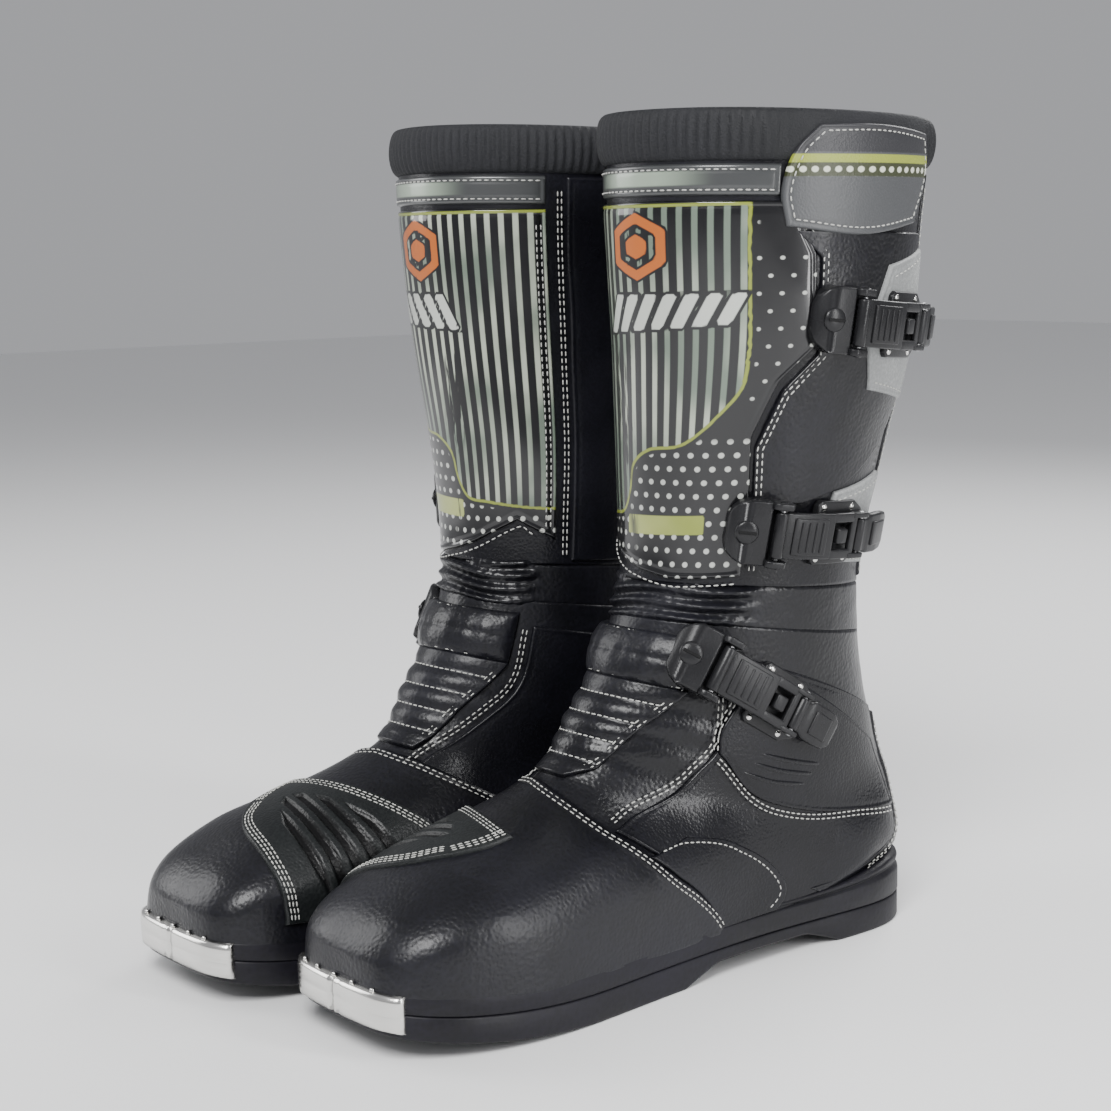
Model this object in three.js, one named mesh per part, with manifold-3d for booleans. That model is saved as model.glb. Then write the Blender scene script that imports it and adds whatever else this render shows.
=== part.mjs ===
import * as THREE from 'three';
import Module from 'manifold-3d';

const wasm = await Module();
wasm.setup();

// A pair of tall riding boots, in mm. +Z is up and the toes point to -Y.
// The left boot is worked out in its own frame, lateral side towards +X.
// The right boot is the same boot mirrored, set beside it and turned a little.

// Cross sections from the top of the leg (first row) down round the heel to the toe (last row).
// front y, front z, back y, back z, lateral half width, medial half width, middle x
const sections = [
  [-72, 412, 92, 408, 67, 57, 10],
  [-71, 372, 89, 368, 65, 55, 10],
  [-70, 330, 85, 326, 63, 53, 9],
  [-66, 280, 81, 275, 60, 50, 7],
  [-62, 231, 72, 225, 53, 47, 3],
  [-60, 195, 64, 187, 48, 44, 1],
  [-62, 170, 64, 158, 46, 43, 0],
  [-69, 150, 70, 122, 44, 43, -1],
  [-79, 132, 80, 88, 43, 42, -2],
  [-92, 116, 89, 58, 42, 41, -3],
  [-103, 99, 78, 28, 40, 40, -4],
  [-119, 89, 24, 17, 41, 41, -4],
  [-140, 81, -59, 15, 46, 44, -4],
  [-161, 75, -119, 15, 49, 45, -3],
  [-183, 68, -159, 18, 49, 44, -1],
  [-201, 57, -192, 24, 42, 39, -1],
  [-212, 45, -210, 31, 28, 28, -2],
  [-217, 40, -216, 37, 11, 11, -2],
];
// Outline of the sole from the toe to the heel: y, lateral x, medial x
const soleOutline = [
  [-221, 21, -23],
  [-217, 33, -34],
  [-207, 42, -42],
  [-190, 49, -47],
  [-165, 53, -50],
  [-140, 53, -51],
  [-115, 50, -50],
  [-85, 46, -48],
  [-50, 42, -46],
  [-20, 40, -43],
  [10, 40, -41],
  [40, 41, -40],
  [65, 39, -38],
  [82, 32, -32],
  [92, 21, -22],
  [96, 10, -12],
];

// the pair
const pairSpacing = 108;
const rightStepForward = 20;
const rightTurn = 1.2;

// walls and layers, measured out from the skin of the boot
const wallInside = -5.5;
const wallOutside = -2.5;
const coverInside = -2.1;
const coverOutside = 0;
const seatGap = 0.4;

// where the rings of the boot start and stop, as section numbers (1 is the second row, at z 372)
const collarTop = -0.1;
const collarBottom = 0.38;
const collarBulge = 4;
const collarDepth = 7;
const shaftTop = 0.39;
const shaftBottom = 4.82;
const gussetTop = 4.86;
const gussetBottom = 5.56;
const quartersTop = 5.6;
const vampStart = 10.3;
const ringGap = 0.04;

// sole
const outsoleThickness = 13;
const midsoleThickness = 12;
const footbedThickness = 4;
const toeSpring = 8;
const toeSpringStart = -110;
const archHeight = 7;
const heelBreast = 28;
const archFront = -70;
const treadGap = 0.3;

// toe guard
const guardThickness = 2;
const guardBack = -188;
const guardBottom = 4;
const guardTop = 26.5;

// instep pad
const instepPadThickness = 4;

// buckles: lengths are along the strap, widths across it, heights out from the skin
const holderFront = -15;
const holderBack = 13;
const holderHalfWidth = 14.5;
const holderHeight = 7;
const earThickness = 3;
const earHeight = 10;
const hingeOffset = 8;
const hingeHeight = 7;
const barrelRadius = 2.8;
const strapHalfWidth = 10.5;
const strapThickness = 2.6;
const strapEnd = 48.6;
const windowStart = 35;
const windowEnd = 45.6;
const windowHalfWidth = 6;
const leverHinge = 52;
const cheekThickness = 2.5;
const leverLength = 25;
const leverHalfWidth = 9;
const leverThickness = 3;
const receiverFront = 29;
const receiverBack = 63;
const receiverHalfWidth = 14.5;
const receiverThickness = 1.5;
const toothHalfWidth = 3.4;
const toothHeight = 8.4;
const patchThickness = 1;

const aroundCount = 24;

const frontLine = new THREE.CatmullRomCurve3(
  sections.map((row) => new THREE.Vector3(0, row[0], row[1])), false, 'catmullrom', 0.5);
const backLine = new THREE.CatmullRomCurve3(
  sections.map((row) => new THREE.Vector3(0, row[2], row[3])), false, 'catmullrom', 0.5);
const widthLine = new THREE.CatmullRomCurve3(
  sections.map((row) => new THREE.Vector3(row[4], row[5], row[6])), false, 'catmullrom', 0.5);

function power(value, exponent) {
  return Math.sign(value) * Math.pow(Math.abs(value), exponent);
}

// A point of the boot's skin. station is the section number, angle is 0 at the front of the leg
// or the top of the foot, 90 degrees on the lateral side and 180 at the back or the sole.
function skinPoint(station, angle) {
  const along = (station + 1) / (sections.length - 1);
  const front = frontLine.getPoint(along);
  const back = backLine.getPoint(along);
  const width = widthLine.getPoint(along);
  const foot = Math.min(Math.max((station - 8.5) / 2.5, 0), 1);
  const c = Math.cos(angle);
  const s = Math.sin(angle);
  const squareness = c >= 0 ? 2.1 : 2.1 + 1.1 * foot;
  const lengthwise = power(c, 2 / squareness);
  const across = power(s, 2 / squareness);
  const half = s >= 0 ? width.x : width.y;
  return new THREE.Vector3(
    width.z + half * across,
    (front.y + back.y) / 2 + (front.y - back.y) / 2 * lengthwise,
    (front.z + back.z) / 2 + (front.z - back.z) / 2 * lengthwise);
}

function skinNormal(station, angle) {
  const step = 0.02;
  const low = Math.max(station - step, -1);
  const high = Math.min(station + step, sections.length - 2);
  const downward = skinPoint(high, angle).sub(skinPoint(low, angle));
  const around = skinPoint(station, angle + step).sub(skinPoint(station, angle - step));
  return new THREE.Vector3().crossVectors(around, downward).normalize().negate();
}

function skinOffset(station, angle, distance) {
  return skinPoint(station, angle).addScaledVector(skinNormal(station, angle), distance);
}

// Manifold solids from plain vertex rows

function solidFrom(points, triangles) {
  const vertProperties = new Float32Array(points.flatMap((p) => [p.x, p.y, p.z]));
  const triVerts = new Uint32Array(triangles);
  const mesh = new wasm.Mesh({ numProp: 3, vertProperties, triVerts });
  mesh.merge();
  let solid = new wasm.Manifold(mesh);
  if (solid.volume() < 0) {
    const flipped = new Uint32Array(triangles.length);
    for (let i = 0; i < triangles.length; i += 3) {
      flipped.set([triangles[i], triangles[i + 2], triangles[i + 1]], i);
    }
    const turned = new wasm.Mesh({ numProp: 3, vertProperties, triVerts: flipped });
    turned.merge();
    solid = new wasm.Manifold(turned);
  }
  return solid;
}

// A lofted solid through closed rings of points that all have the same count.
function loft(rings) {
  const count = rings[0].length;
  const points = rings.flat();
  const triangles = [];
  for (let r = 0; r + 1 < rings.length; r++) {
    for (let i = 0; i < count; i++) {
      const next = (i + 1) % count;
      const a = r * count + i;
      const b = r * count + next;
      const c = (r + 1) * count + next;
      const d = (r + 1) * count + i;
      triangles.push(a, b, c, a, c, d);
    }
  }
  const firstMiddle = points.length;
  points.push(ringMiddle(rings[0]));
  points.push(ringMiddle(rings[rings.length - 1]));
  const last = (rings.length - 1) * count;
  for (let i = 0; i < count; i++) {
    const next = (i + 1) % count;
    triangles.push(firstMiddle, next, i);
    triangles.push(firstMiddle + 1, last + i, last + next);
  }
  return solidFrom(points, triangles);
}

function ringMiddle(ring) {
  const middle = new THREE.Vector3();
  ring.forEach((point) => middle.add(point));
  return middle.multiplyScalar(1 / ring.length);
}

// Every solid uses the same grid of sections, so that layers lie on each other without touching.
const gridStations = [];
for (let at = -0.4; at < sections.length - 2; at += at < 8.2 || (at > 11 && at < 14) ? 0.75 : 0.4) {
  gridStations.push(at);
}

function stationRow(from, to) {
  const between = gridStations.filter((station) => station > from + 0.08 && station < to - 0.08);
  return [from, ...between, to];
}

function ringAt(station, distance) {
  const ring = [];
  for (let i = 0; i < aroundCount; i++) {
    ring.push(skinOffset(station, i / aroundCount * 2 * Math.PI, distance));
  }
  return ring;
}

// The solid inside the skin at one distance, between two sections.
function body(from, to, distance) {
  return loft(stationRow(from, to).map((station) => ringAt(station, distance)));
}

// A tube wall between two distances from the skin, open at both ends.
function wallRing(from, to, inside, outside) {
  const outer = stationRow(from, to);
  const rings = outer.map((station) => ringAt(station, outside));
  outer.slice().reverse().forEach((station) => rings.push(ringAt(station, inside)));
  const count = aroundCount;
  const triangles = [];
  for (let r = 0; r < rings.length; r++) {
    const below = (r + 1) % rings.length;
    for (let i = 0; i < count; i++) {
      const next = (i + 1) % count;
      const a = r * count + i;
      const b = r * count + next;
      const c = below * count + next;
      const d = below * count + i;
      // both faces of the wall are split along the same diagonal
      if (r < outer.length) {
        triangles.push(a, b, c, a, c, d);
      } else {
        triangles.push(a, b, d, b, c, d);
      }
    }
  }
  return solidFrom(rings.flat(), triangles);
}

// A thick patch that follows the skin: edge(u, v) gives its station and angle, u and v run 0 to 1.
function region(edge, stepsAlong, stepsAround) {
  const rows = [];
  for (let i = 0; i <= stepsAlong; i++) {
    for (let j = 0; j <= stepsAround; j++) {
      rows.push(edge(i / stepsAlong, j / stepsAround));
    }
  }
  const points = rows.map(([station, angle]) => skinOffset(station, angle, 9));
  rows.forEach(([station, angle]) => points.push(skinOffset(station, angle, -8)));
  return solidFrom(points, slabTriangles(stepsAlong, stepsAround));
}

// A piece of leather over the skin, cut from a wall between two distances by a region.
function cover(from, to, cutter, inside, outside) {
  return wallRing(from - 0.1, to + 0.1, inside, outside).intersect(cutter);
}

// Triangles of a closed slab whose top and bottom are the same grid of points.
function slabTriangles(rowCount, columnCount) {
  const wide = columnCount + 1;
  const half = (rowCount + 1) * wide;
  const triangles = [];
  for (let i = 0; i < rowCount; i++) {
    for (let j = 0; j < columnCount; j++) {
      const a = i * wide + j;
      triangles.push(a, a + 1, a + wide + 1, a, a + wide + 1, a + wide);
      triangles.push(half + a, half + a + wide + 1, half + a + 1);
      triangles.push(half + a, half + a + wide, half + a + wide + 1);
    }
  }
  for (let j = 0; j < columnCount; j++) {
    const far = rowCount * wide + j;
    triangles.push(j, half + j, half + j + 1, j, half + j + 1, j + 1);
    triangles.push(far, far + 1, half + far + 1, far, half + far + 1, half + far);
  }
  for (let i = 0; i < rowCount; i++) {
    const near = i * wide;
    const far = near + columnCount;
    triangles.push(near, near + wide, half + near + wide, near, half + near + wide, half + near);
    triangles.push(far, half + far, half + far + wide, far, half + far + wide, far + wide);
  }
  return triangles;
}

function radians(degrees) {
  return degrees * Math.PI / 180;
}

// A value read off a short list of [position, value] pairs, straight between them.
function along(pairs, position) {
  for (let i = 1; i < pairs.length; i++) {
    if (position <= pairs[i][0]) {
      const share = (position - pairs[i - 1][0]) / (pairs[i][0] - pairs[i - 1][0]);
      return pairs[i - 1][1] + share * (pairs[i][1] - pairs[i - 1][1]);
    }
  }
  return pairs[pairs.length - 1][1];
}

// Sole: heights change with y only, so the toe springs up and the waist is arched.

function springAt(y) {
  const share = Math.min(Math.max((toeSpringStart - y) / 110, 0), 1);
  return toeSpring * share * share;
}

function archAt(y) {
  if (y > heelBreast || y < archFront) {
    return 0;
  }
  const share = (y - archFront) / (heelBreast - archFront);
  return archHeight * Math.min(share * 1.6, 1) * Math.min((1 - share) * 8, 1);
}

function soleTop(y) {
  return outsoleThickness + midsoleThickness + springAt(y) * 0.8;
}

// A slab inside the sole's outline; grow moves its edge outwards.
function soleSlab(bottomAt, topAt, grow, extraRows) {
  const lateral = soleOutline.map((row) => [row[0], row[1]]);
  const medial = soleOutline.map((row) => [row[0], row[2]]);
  const first = soleOutline[0][0];
  const last = soleOutline[soleOutline.length - 1][0];
  const rows = soleOutline.map((row) => row[0]).concat(extraRows).sort((a, b) => a - b);
  const columns = 4;
  const top = [];
  const bottom = [];
  rows.forEach((y) => {
    const shift = y === first ? -grow : y === last ? grow : 0;
    for (let j = 0; j <= columns; j++) {
      const share = j / columns;
      const x = (along(lateral, y) + grow) * (1 - share) + (along(medial, y) - grow) * share;
      top.push(new THREE.Vector3(x, y + shift, topAt(y)));
      bottom.push(new THREE.Vector3(x, y + shift, bottomAt(y)));
    }
  });
  return solidFrom(top.concat(bottom), slabTriangles(rows.length - 1, columns));
}

const archRows = [-60, -35, 0, 20, heelBreast - 1];

function outsole() {
  const bottomAt = (y) => springAt(y) + archAt(y);
  const topAt = (y) => outsoleThickness + springAt(y) * 0.9;
  return soleSlab(bottomAt, topAt, 0, archRows);
}

function midsole() {
  const bottomAt = (y) => outsoleThickness + springAt(y) * 0.9 + treadGap;
  return soleSlab(bottomAt, soleTop, -1, []);
}

// Everything below the top of the sole, used to trim the upper.
function belowSole(clearance) {
  return soleSlab(() => -30, (y) => soleTop(y) + clearance, 30, []);
}

function footbed() {
  const inside = body(8.6, 14.6, wallInside - 0.5);
  const slab = soleSlab((y) => soleTop(y) + 0.3, (y) => soleTop(y) + 0.3 + footbedThickness, 10, []);
  return inside.intersect(slab);
}

function toeGuard() {
  const outer = soleSlab((y) => springAt(y) + guardBottom, (y) => springAt(y) + guardTop,
    seatGap + guardThickness, []);
  const inner = soleSlab(() => -20, () => 60, seatGap, []);
  const behind = new wasm.Manifold.cube([200, 400, 100], true).translate([0, guardBack + 200, 0]);
  return outer.subtract(inner).subtract(behind);
}

// Upper

function shaft() {
  return wallRing(shaftTop, shaftBottom, wallInside, wallOutside);
}

function gusset() {
  return wallRing(gussetTop, gussetBottom, wallInside + 0.5, wallOutside - 0.5);
}

function quarters() {
  return wallRing(quartersTop, vampStart - ringGap, wallInside, wallOutside)
    .subtract(belowSole(0.3));
}

function vamp() {
  const toeEnd = sections.length - 2;
  const outer = stationRow(vampStart, toeEnd).map((station) => ringAt(station, wallOutside));
  const inner = stationRow(vampStart, toeEnd - 0.35).map((station) => ringAt(station, wallInside));
  return loft([...inner.reverse(), ...outer]).subtract(belowSole(0.3));
}

// The padded rim is a soft ring with a round section.
function collar() {
  const profileCount = 8;
  const triangles = [];
  const points = [];
  const middle = (collarTop + collarBottom) / 2;
  const half = (collarBottom - collarTop) / 2;
  for (let r = 0; r < aroundCount; r++) {
    const angle = r / aroundCount * 2 * Math.PI;
    for (let k = 0; k < profileCount; k++) {
      const turn = (k + 0.5) / profileCount * 2 * Math.PI;
      const out = (collarBulge - collarDepth) / 2 + (collarBulge + collarDepth) / 2 * Math.cos(turn) * 1.08;
      points.push(skinOffset(middle - half * Math.sin(turn) * 1.08, angle, out));
    }
  }
  for (let r = 0; r < aroundCount; r++) {
    for (let k = 0; k < profileCount; k++) {
      const a = r * profileCount + k;
      const b = r * profileCount + (k + 1) % profileCount;
      const c = ((r + 1) % aroundCount) * profileCount + (k + 1) % profileCount;
      const d = ((r + 1) % aroundCount) * profileCount + k;
      triangles.push(a, b, c, a, c, d);
    }
  }
  return solidFrom(points, triangles);
}

// The shin panel's lateral edge, as [station, degrees].
const panelLateralEdge = [[0.7, 62], [1.3, 74], [2.1, 75], [2.4, 63], [2.9, 55], [3.6, 57], [4.8, 57]];
const panelMedialEdge = -60;
const panelTop = 0.8;
const panelBottom = 4.76;
const edgeGap = 1.6;

function panelRegion(grow) {
  return region((u, v) => {
    const station = panelTop - grow * 0.02 + (panelBottom - panelTop) * u;
    const lateral = along(panelLateralEdge, station) + grow;
    return [station, radians(lateral + (panelMedialEdge - lateral) * v)];
  }, 12, 8);
}

function shinPanel() {
  return cover(panelTop, panelBottom, panelRegion(0), coverInside, coverOutside);
}

function topBand() {
  const cutter = region((u, v) => [0.46 + 0.3 * u, radians(60 - 120 * v)], 1, 10);
  return cover(0.46, 0.76, cutter, coverInside, coverOutside);
}

const flapBackEdge = [[1.06, 133], [2.3, 134], [2.9, 123], [3.3, 102], [3.5, 78]];
const flapTop = 1.06;
const flapBottom = 3.5;

function closureFlap() {
  const cutter = region((u, v) => {
    const station = flapTop + (flapBottom - flapTop) * u;
    return [station, radians(50 + (along(flapBackEdge, station) - 50) * v)];
  }, 10, 7);
  return cover(flapTop, flapBottom, cutter, coverInside, coverOutside).subtract(panelRegion(edgeGap));
}

// The tab holds the rim's lateral side down onto the flap.
function topTab() {
  const cutter = region((u, v) => [0.46 + 0.54 * u, radians(63 + (57 - 6 * u) * v)], 3, 6);
  return cover(0.46, 1, cutter, coverInside, coverOutside).subtract(panelRegion(edgeGap));
}

function upperPatch() {
  const cutter = region((u, v) => [1.4 + 0.9 * u, radians(97 + 34 * v)], 2, 3);
  return cover(1.4, 2.3, cutter, seatGap, seatGap + patchThickness);
}

function middlePatch() {
  const cutter = region((u, v) => [3.58 + 0.9 * u, radians(92 + 42 * v)], 2, 3);
  return cover(3.58, 4.48, cutter, coverInside, coverOutside);
}

function instepPad() {
  const cutter = region((u, v) => [5.72 + 1.18 * u, radians(25 - 68 * v)], 3, 8);
  return cover(5.72, 6.9, cutter, coverInside, instepPadThickness);
}

// The ankle shield's front and back edges, as [station, degrees].
const shieldFront = [[6.05, 68], [7.45, 64], [8.1, 61], [9.2, 84]];
const shieldBack = [[6.05, 80], [7.1, 131], [7.9, 135], [9.2, 112]];

function ankleShield() {
  const cutter = region((u, v) => {
    const station = 6.05 + 3.1 * u;
    const front = along(shieldFront, station);
    return [station, radians(front + (along(shieldBack, station) - front) * v)];
  }, 8, 6);
  return cover(6.05, 9.15, cutter, coverInside, coverOutside);
}

// The shift pad wraps over the toe and ends in a point on the lateral side.
const padLateralEdge = [[10.7, -8], [11.6, 27], [12.2, 16], [13.2, 4]];
const padMedialEdge = -104;

function shiftPad() {
  const cutter = region((u, v) => {
    const station = 10.75 + 2.55 * u;
    const lateral = along(padLateralEdge, station);
    return [station + 0.3 * v * u, radians(lateral + (padMedialEdge - lateral) * v)];
  }, 8, 9);
  return cover(10.75, 13.6, cutter, coverInside, coverOutside).subtract(belowSole(0.5));
}

// Buckles: each one is laid along a path over the skin. The path lies in one plane, and the
// hinges of the buckle stand across that plane.

function strapPath(start, end, lift) {
  const count = 8;
  const points = [];
  for (let i = -2; i <= count + 1; i++) {
    const share = i / count;
    const station = start[0] + (end[0] - start[0]) * share;
    const angle = radians(start[1] + (end[1] - start[1]) * share);
    points.push(skinOffset(station, angle, lift));
  }
  const from = points[2];
  const to = points[count + 2];
  const forward = to.clone().sub(from).normalize();
  const middle = skinNormal((start[0] + end[0]) / 2, radians((start[1] + end[1]) / 2));
  const across = new THREE.Vector3().crossVectors(middle, forward).normalize();
  const flat = points.map((point) => {
    const rise = point.clone().sub(from).dot(across);
    return point.clone().addScaledVector(across, -rise);
  });
  const curve = new THREE.CatmullRomCurve3(flat, false, 'catmullrom', 0.5);
  curve.arcLengthDivisions = 400;
  const lengths = curve.getLengths();
  const total = lengths[lengths.length - 1];
  const zero = lengths[Math.round(2 / (count + 3) * 400)];
  const place = (a, b, n) => {
    const share = Math.min(Math.max((a + zero) / total, 0), 1);
    const tangent = curve.getTangentAt(share);
    const out = new THREE.Vector3().crossVectors(tangent, across).normalize();
    return curve.getPointAt(share).addScaledVector(across, b).addScaledVector(out, n);
  };
  return { place, across };
}

// A bar bent along the path. Each row gives a, half width, bottom and top height.
function bentBar(path, rows, chamfer) {
  return loft(rows.map(([a, half, low, high]) => {
    const cut = Math.min(chamfer, half * 0.6, (high - low) * 0.45);
    const outline = [[-half, low], [half, low], [half, high - cut], [half - cut, high],
      [cut - half, high], [-half, high - cut]];
    return outline.map(([b, n]) => path.place(a, b, n));
  }));
}

function barRows(from, to, half, low, high, count) {
  const rows = [];
  for (let i = 0; i <= count; i++) {
    rows.push([from + (to - from) * i / count, half, low, high]);
  }
  return rows;
}

// A round barrel across the path, from one b to another.
function barrel(path, a, height, radius, from, to) {
  const sides = 10;
  const middle = path.place(a, 0, height);
  const out = path.place(a, 0, height + 1).sub(middle).normalize();
  const forward = new THREE.Vector3().crossVectors(path.across, out).normalize();
  const rings = [from, to].map((b) => {
    const ring = [];
    for (let i = 0; i < sides; i++) {
      const turn = i / sides * 2 * Math.PI;
      ring.push(middle.clone().addScaledVector(path.across, b)
        .addScaledVector(out, radius * Math.cos(turn))
        .addScaledVector(forward, radius * Math.sin(turn)));
    }
    return ring;
  });
  return loft(rings);
}

function holder(path, skin) {
  const front = bentBar(path, [
    [holderFront, 6, -4, 2.5],
    [holderFront + 1.5, 9.5, -4, 4.5],
    [holderFront + 5, 13, -4, 6.2],
    [holderFront + 9, holderHalfWidth, -4, holderHeight],
    [hingeOffset - barrelRadius - 1.2, holderHalfWidth, -4, holderHeight],
  ], 2);
  const base = bentBar(path, barRows(hingeOffset - barrelRadius - 2, holderBack, holderHalfWidth, -4,
    hingeHeight - barrelRadius - 0.6, 2), 0.3);
  let solid = front.add(base);
  [-1, 1].forEach((side) => {
    const inner = side * (holderHalfWidth - earThickness);
    const outer = side * holderHalfWidth;
    const round = barrel(path, hingeOffset, hingeHeight, earHeight - hingeHeight,
      Math.min(inner, outer), Math.max(inner, outer));
    const low = Math.min(inner, outer);
    const high = Math.max(inner, outer);
    const corners = [[hingeOffset - 4.5, 0], [hingeOffset + 4.5, 0], [hingeOffset + 3, hingeHeight],
      [hingeOffset - 3, hingeHeight]];
    const web = loft([low, high].map((b) => corners.map(([a, n]) => path.place(a, b, n))));
    solid = solid.add(round).add(web);
  });
  return solid.subtract(skin);
}

function strap(path) {
  const low = hingeHeight - strapThickness / 2;
  const high = low + strapThickness;
  let solid = bentBar(path, barRows(hingeOffset, strapEnd, strapHalfWidth, low, high, 7), 0.6);
  solid = solid.add(barrel(path, hingeOffset, hingeHeight, barrelRadius, -strapHalfWidth, strapHalfWidth));
  const window = bentBar(path, barRows(windowStart, windowEnd, windowHalfWidth, low - 3, high + 3, 3), 0.1);
  solid = solid.subtract(window);
  [-1, 1].forEach((side) => {
    const inner = side * (strapHalfWidth - cheekThickness);
    const outer = side * strapHalfWidth;
    const from = Math.min(inner, outer);
    const to = Math.max(inner, outer);
    const arm = loft([from, to].map((b) => [
      path.place(strapEnd - 6, b, low), path.place(leverHinge, b, low),
      path.place(leverHinge, b, high), path.place(strapEnd - 6, b, high),
    ]));
    const eye = barrel(path, leverHinge, hingeHeight, barrelRadius + 0.2, from, to);
    solid = solid.add(arm).add(eye);
  });
  return solid;
}

function lever(path) {
  const inside = strapHalfWidth - cheekThickness - 0.4;
  const low = hingeHeight - 1.6;
  const high = low + leverThickness;
  const tip = leverHinge + leverLength;
  const paddle = bentBar(path, [
    [leverHinge, inside, low, high],
    [leverHinge + barrelRadius + 0.9, inside, low, high],
    [leverHinge + barrelRadius + 3.4, leverHalfWidth, low, high + 0.4],
    [leverHinge + 14, leverHalfWidth, low, high + 0.8],
    [tip - 5, leverHalfWidth - 1, low, high + 0.8],
    [tip - 1.5, leverHalfWidth - 4, low, high + 0.6],
    [tip, leverHalfWidth - 6, low, high],
  ], 0.9);
  return paddle.add(barrel(path, leverHinge, hingeHeight, barrelRadius, -inside, inside));
}

function receiver(path, skin, ground) {
  const top = ground + receiverThickness;
  const plate = bentBar(path, [
    [receiverFront, receiverHalfWidth - 2, ground - 4, top],
    [receiverFront + 2, receiverHalfWidth, ground - 4, top],
    [(receiverFront + receiverBack) / 2 - 4, receiverHalfWidth, ground - 4, top],
    [(receiverFront + receiverBack) / 2 + 4, receiverHalfWidth, ground - 4, top],
    [receiverBack - 10, receiverHalfWidth, ground - 4, top],
    [receiverBack - 3, receiverHalfWidth - 4, ground - 4, top],
    [receiverBack, receiverHalfWidth - 9, ground - 4, top],
  ], 0.5);
  const middle = (windowStart + windowEnd) / 2;
  const tooth = bentBar(path, barRows(middle - 2.6, middle + 2.6, toothHalfWidth, ground - 2, toothHeight, 2), 0.8);
  return plate.add(tooth).subtract(skin);
}

// start and end of each buckle on the skin, as [station, degrees], and how far it stands off
const buckles = [
  { name: 'upper', start: [1.8, 82], end: [1.85, 137], lift: 0.2, ground: 1.9 },
  { name: 'middle', start: [3.85, 61], end: [3.85, 136], lift: 0.2, ground: 0.6 },
  { name: 'ankle', start: [6.2, 46], end: [7.65, 126], lift: 0.6, ground: 0.6 },
];

// Finishes

function finish(color, roughness, metalness) {
  return new THREE.MeshStandardMaterial({ color, roughness, metalness });
}

const finishes = {
  leather: () => finish(0x141419, 0.45, 0),
  gloss: () => finish(0x0b0b10, 0.15, 0),
  fabric: () => finish(0x1c1c20, 0.85, 0),
  patch: () => finish(0x8f9091, 0.6, 0),
  tab: () => finish(0x85893a, 0.6, 0),
  rubber: () => finish(0x111112, 0.8, 0),
  welt: () => finish(0x1a1a1c, 0.7, 0),
  metal: () => finish(0xb9bbbe, 0.28, 1),
  plastic: () => finish(0x2a2a2d, 0.4, 0),
};

function addPiece(group, name, solid, finishName) {
  group.push({ name, solid, finishName });
}

function bootPieces() {
  const pieces = [];
  addPiece(pieces, 'outsole', outsole(), 'rubber');
  addPiece(pieces, 'midsole', midsole(), 'welt');
  addPiece(pieces, 'footbed', footbed(), 'fabric');
  addPiece(pieces, 'toe_guard', toeGuard(), 'metal');
  addPiece(pieces, 'vamp', vamp(), 'leather');
  addPiece(pieces, 'shift_pad', shiftPad(), 'leather');
  addPiece(pieces, 'quarters', quarters(), 'leather');
  addPiece(pieces, 'ankle_shield', ankleShield(), 'leather');
  addPiece(pieces, 'instep_pad', instepPad(), 'leather');
  addPiece(pieces, 'flex_gusset', gusset(), 'fabric');
  addPiece(pieces, 'shaft', shaft(), 'leather');
  addPiece(pieces, 'shin_panel', shinPanel(), 'gloss');
  addPiece(pieces, 'top_band', topBand(), 'tab');
  addPiece(pieces, 'collar', collar(), 'fabric');
  addPiece(pieces, 'closure_flap', closureFlap(), 'leather');
  addPiece(pieces, 'top_tab', topTab(), 'tab');
  addPiece(pieces, 'upper_patch', upperPatch(), 'patch');
  addPiece(pieces, 'middle_patch', middlePatch(), 'patch');
  buckles.forEach((buckle) => {
    const path = strapPath(buckle.start, buckle.end, buckle.lift);
    const from = Math.max(buckle.start[0] - 1.8, -0.4);
    const to = buckle.end[0] + 1.8;
    const bare = buckle.name === 'ankle' ? wallOutside + seatGap : seatGap;
    const skin = body(from, to, bare);
    const patched = buckle.name === 'upper' ? seatGap * 2 + patchThickness : seatGap;
    const seat = body(from, to, patched);
    addPiece(pieces, buckle.name + '_holder', holder(path, skin), 'plastic');
    addPiece(pieces, buckle.name + '_strap', strap(path), 'plastic');
    addPiece(pieces, buckle.name + '_lever', lever(path), 'plastic');
    addPiece(pieces, buckle.name + '_receiver', receiver(path, seat, buckle.ground), 'plastic');
  });
  return pieces;
}

// Turn a solid into a mesh. side is 1 for the left boot and -1 for the right one.
function bootMesh(piece, side) {
  const source = piece.solid.getMesh();
  const position = new Float32Array(source.numVert * 3);
  for (let i = 0; i < source.numVert; i++) {
    position[i * 3] = source.vertProperties[i * source.numProp] * side;
    position[i * 3 + 1] = source.vertProperties[i * source.numProp + 1];
    position[i * 3 + 2] = source.vertProperties[i * source.numProp + 2];
  }
  const index = Array.from(source.triVerts);
  if (side < 0) {
    for (let i = 0; i < index.length; i += 3) {
      [index[i + 1], index[i + 2]] = [index[i + 2], index[i + 1]];
    }
  }
  const geometry = new THREE.BufferGeometry();
  geometry.setAttribute('position', new THREE.BufferAttribute(position, 3));
  geometry.setIndex(index);
  if (side < 0) {
    geometry.rotateZ(radians(rightTurn));
    geometry.translate(-pairSpacing, -rightStepForward, 0);
  }
  geometry.computeVertexNormals();
  const mesh = new THREE.Mesh(geometry, finishes[piece.finishName]());
  mesh.name = (side > 0 ? 'left_' : 'right_') + piece.name;
  return mesh;
}

const pair = new THREE.Group();
pair.name = 'riding_boots';
bootPieces().forEach((piece) => {
  pair.add(bootMesh(piece, 1));
  pair.add(bootMesh(piece, -1));
});

// stand the pair on z 0 with its box centred over the origin
const box = new THREE.Box3().setFromObject(pair);
const centre = box.getCenter(new THREE.Vector3());
pair.children.forEach((mesh) => mesh.geometry.translate(-centre.x, -centre.y, -box.min.z));

export default pair;
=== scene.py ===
import math

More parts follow.
